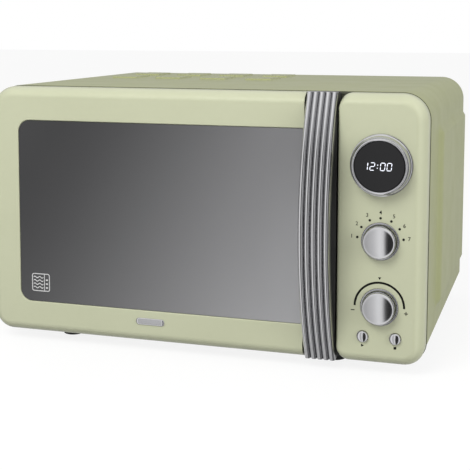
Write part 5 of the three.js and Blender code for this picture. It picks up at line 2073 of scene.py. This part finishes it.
@dataclass
class Turntable:
    """The glass tray, its roller ring and the drive."""

    x: float = 175.5
    y: float = 150.45
    tray_radius: float = 122.5
    tray_thick: float = 4.5
    rim: float = 11.0
    track: float = 92.0
    groove: float = 0.45
    groove_radii: tuple[float, ...] = (100.0, 70.0, 40.0)
    roller_radius: float = 8.0
    roller_width: float = 8.0

    def tray(self) -> bpy.types.Object:
        """Makes the glass tray with its turned-up rim and moulded rings.

        Returns:
            The piece.
        """
        low = (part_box("glass_tray")[0].z - ORIGIN.z) / MM + 4.0
        flat, rim, r = low + self.tray_thick, low + self.rim, self.tray_radius
        profile = [(0, low), (13.5, low), (13.5, low - 3.7), (13.9, low - 4), (16.1, low - 4),
                   (16.6, low - 3.6), (17, low), (r - 13, low)]
        profile += arc((r - 13, low + 11.6), 11.6, -86, -30, 8)
        profile += arc((r - 1.1, rim - 1.1), 1.1, -10, 160, 8)
        profile += arc((r - 14, flat + 8.5), 8.5, -12, -88, 8)
        for radius in self.groove_radii:
            groove = flat - self.groove
            profile += [(radius + 1.6, flat), (radius + 0.8, groove), (radius - 0.8, groove),
                        (radius - 1.6, flat)]
        profile.append((0, flat))
        return turned("tray_glass", Axis.Z, (self.x, self.y, 0), profile, 128)

    def roller(self, name: str, turn: float, z: float) -> bpy.types.Object:
        """Makes one roller with rounded edges.

        Args:
            name: of the piece.
            turn: its direction from the middle, in radians.
            z: height of its axis.

        Returns:
            The piece.
        """
        near, far = self.track - self.roller_width / 2, self.track + self.roller_width / 2
        r = self.roller_radius
        profile = [(1.95, near), (r - 0.7, near), (r - 0.15, near + 0.3), (r, near + 0.9),
                   (r, far - 0.9), (r - 0.15, far - 0.3), (r - 0.7, far), (1.95, far)]
        wheel = turned(name, Axis.X, (0, 0, z), profile, SMALL_ROUND)
        place = at((0, 0, 0))
        middle = at((self.x, self.y, 0))
        wheel.data.transform(Matrix.Translation(-place))
        wheel.data.transform(Matrix.Translation(middle) @ Matrix.Rotation(turn, 4, "Z"))
        return wheel

    def build(self) -> None:
        """Makes and dresses the turntable."""
        settle(self.tray(), "glass_tray", GLASS, "glass_tray")
        axis = (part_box("roller_ring")[0].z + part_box("roller_ring")[1].z) / 2 - ORIGIN.z
        for number in range(3):
            turn = QUARTER + number * 2 * math.pi / 3
            wheel = self.roller(f"ring_roller_{number + 1}", turn, axis / MM)
            settle(wheel, f"roller_{number + 1}", WHITE, f"roller_{number + 1}")
        settle(refined("roller_ring", "ring_hoop", 0.4), "roller_ring", WHITE, "roller_ring")
        settle(refined("turntable_coupler", "drive_coupler", 0.5), "turntable_drive", WHITE,
               "turntable_coupler")


# --- Component bay -------------------------------------------------------------------------------


@dataclass
class Bay:
    """What lies behind the panel and around the cavity, mostly hidden at rest."""

    edge: float = 0.4
    finishes: dict[str, Finish] = field(default_factory=lambda: {
        "lower_hinge": STEEL, "upper_hinge": STEEL, "latch_board": WHITE, "door_switch_1": DARK,
        "door_switch_2": DARK, "door_switch_3": DARK, "mode_switch": DARK, "dial_encoder": DARK,
        "turntable_motor": STEEL, "waveguide": STEEL, "waveguide_cover": MICA,
        "magnetron": CAN, "transformer_core": LAMINATE, "transformer_winding": WINDING,
        "capacitor": CAN, "fan_shroud": STEEL, "fan_motor": DARK, "filter_board": BOARD,
        "cavity_lamp": GLASS,
    })

    def build(self) -> None:
        """Rounds the edges of every piece of the bay and dresses it."""
        for node, finish in self.finishes.items():
            settle(refined(node, node + "_fine", self.edge), "oven_body", finish, node)
        settle(refined("fan_blade", "fan_blade_fine", 0.3), "fan_blade", WHITE, "fan_blade")


# --- Studio --------------------------------------------------------------------------------------


@dataclass
class Studio:
    """A pale floor, soft light, what chrome reflects, and the camera."""

    camera_place: Point = (0.338, -1.1339, 0.3229)
    turn: float = 18.19
    tilt: float = -5.75
    lens: float = 83.3
    shift: Flat = (0.0532, -0.2128)
    floor_size: float = 12.0
    lamps: tuple[tuple[str, Point, Point, float, float], ...] = (
        ("key", (-0.3, -1.3, 1.3), (0, -0.15, 0.15), 0.9, 19),
        ("side", (2.2, -0.6, 0.8), (0.2, 0, 0.15), 1.5, 25),
    )
    floor_shade: float = 0.5
    floor_glow: float = 1.22
    floor_glow_share: float = 0.7

    def camera(self) -> None:
        """Places the camera."""
        data = bpy.data.cameras.new("camera")
        data.lens = self.lens
        data.sensor_width = 36
        data.shift_x, data.shift_y = self.shift
        data.clip_end = 50
        thing = bpy.data.objects.new("camera", data)
        thing.location = self.camera_place
        thing.rotation_euler = (math.radians(90 + self.tilt), 0, math.radians(self.turn))
        bpy.context.scene.collection.objects.link(thing)
        bpy.context.scene.camera = thing

    def floor(self) -> None:
        """Makes the pale floor: soft white to the eye, and left out of mirrors."""
        size = self.floor_size
        mesh = bpy.data.meshes.new("floor")
        mesh.from_pydata([(-size, -size, 0), (size, -size, 0), (size, size, 0), (-size, size, 0)],
                         [], [(0, 1, 2, 3)])
        thing = bpy.data.objects.new("floor", mesh)
        bpy.context.scene.collection.objects.link(thing)
        material = bpy.data.materials.new("floor")
        material.use_nodes = True
        tree = Tree(material.node_tree)
        paper = tree.add("ShaderNodeBsdfPrincipled",
                         {"Base Color": (*(self.floor_shade,) * 3, 1), "Roughness": 0.6})
        lit = tree.add("ShaderNodeEmission", {0: (1, 1, 1, 1), 1: self.floor_glow})
        clear = tree.add("ShaderNodeBsdfTransparent")
        path = tree.add("ShaderNodeLightPath")
        share = tree.maths("MULTIPLY", path.outputs["Is Camera Ray"], self.floor_glow_share)
        bright = tree.add("ShaderNodeMixShader", {0: share, 1: paper.outputs[0], 2: lit.outputs[0]})
        both = tree.add("ShaderNodeMixShader", {0: path.outputs["Is Glossy Ray"],
                                                1: bright.outputs[0], 2: clear.outputs[0]})
        tree.add("ShaderNodeOutputMaterial", {"Surface": both.outputs[0]})
        mesh.materials.append(material)

    def world(self) -> None:
        """Writes the surroundings: white to the eye, soft to matt faces, banded to chrome."""
        world = bpy.data.worlds.new("studio")
        world.use_nodes = True
        bpy.context.scene.world = world
        tree = Tree(world.node_tree)
        way = tree.add("ShaderNodeTexCoord").outputs["Generated"]
        parts = tree.add("ShaderNodeSeparateXYZ", {0: way})
        x, y, z = parts.outputs[0], parts.outputs[1], parts.outputs[2]
        ahead = tree.maths("MULTIPLY", y, -1.0)
        azimuth = tree.maths("ARCTAN2", x, ahead)
        share = tree.ranged(azimuth, (-math.pi, math.pi), 0.0, 1.0)
        ramp = tree.add("ShaderNodeValToRGB", {0: share})
        stops = ramp.color_ramp
        bands = ((-180, 0.5), (-95, 0.55), (-82, 0.12), (-60, 0.3), (-48, 1.0), (-35, 0.9),
                 (-27, 0.5), (-16, 0.7), (-8, 0.95), (-3, 0.85), (1, 0.12), (4, 0.035),
                 (28, 0.045), (38, 0.95), (62, 0.9), (74, 0.16), (110, 0.2), (130, 0.5),
                 (180, 0.5))
        while len(stops.elements) > 1:
            stops.elements.remove(stops.elements[-1])
        for number, (degrees, value) in enumerate(bands):
            place = (degrees + 180) / 360
            element = stops.elements[0] if number == 0 else stops.elements.new(place)
            element.position = place
            element.color = (value, value, value, 1)
        overhead = tree.ranged(z, (0.45, 0.7), 0.0, 1.0)
        banded = tree.mixed(overhead, ramp.outputs[0], (0.95, 0.95, 0.95, 1))
        soft = tree.ranged(z, (-0.2, 0.9), 0.86, 0.38)
        path = tree.add("ShaderNodeLightPath")
        matt = tree.add("ShaderNodeBackground", {0: (1, 1, 1, 1), 1: soft})
        mirror = tree.add("ShaderNodeBackground", {0: banded, 1: 1.0})
        white = tree.add("ShaderNodeBackground", {0: (1, 1, 1, 1), 1: 1.0})
        lit = tree.add("ShaderNodeMixShader", {0: path.outputs["Is Glossy Ray"],
                                               1: matt.outputs[0], 2: mirror.outputs[0]})
        seen = tree.add("ShaderNodeMixShader", {0: path.outputs["Is Camera Ray"],
                                                1: lit.outputs[0], 2: white.outputs[0]})
        tree.add("ShaderNodeOutputWorld", {"Surface": seen.outputs[0]})

    def lamp(self, name: str, place: Point, target: Point, size: float, power: float) -> None:
        """Adds one large soft light that mirrors leave out.

        Args:
            name: of the light.
            place: of the light, in metres.
            target: what it faces, in metres.
            size: of its side, in metres.
            power: in watts.
        """
        data = bpy.data.lights.new(name, "AREA")
        data.size = size
        data.energy = power
        thing = bpy.data.objects.new(name, data)
        thing.location = place
        aim = Vector(target) - Vector(place)
        thing.rotation_euler = aim.to_track_quat("-Z", "Y").to_euler()
        thing.visible_glossy = False
        bpy.context.scene.collection.objects.link(thing)

    def build(self) -> None:
        """Sets up the studio."""
        bpy.context.scene.view_settings.view_transform = "Standard"
        self.camera()
        self.floor()
        self.world()
        for lamp in self.lamps:
            self.lamp(*lamp)


def main() -> None:
    """Builds the oven and its studio."""
    logging.basicConfig(level=logging.INFO, format="%(name)s: %(message)s")
    Studio().build()
    for part in (Cabinet(), Door(), ControlPanel(), Turntable(), Bay()):
        log.info("building %s", type(part).__name__)
        part.build()


if __name__ == "__main__":
    main()
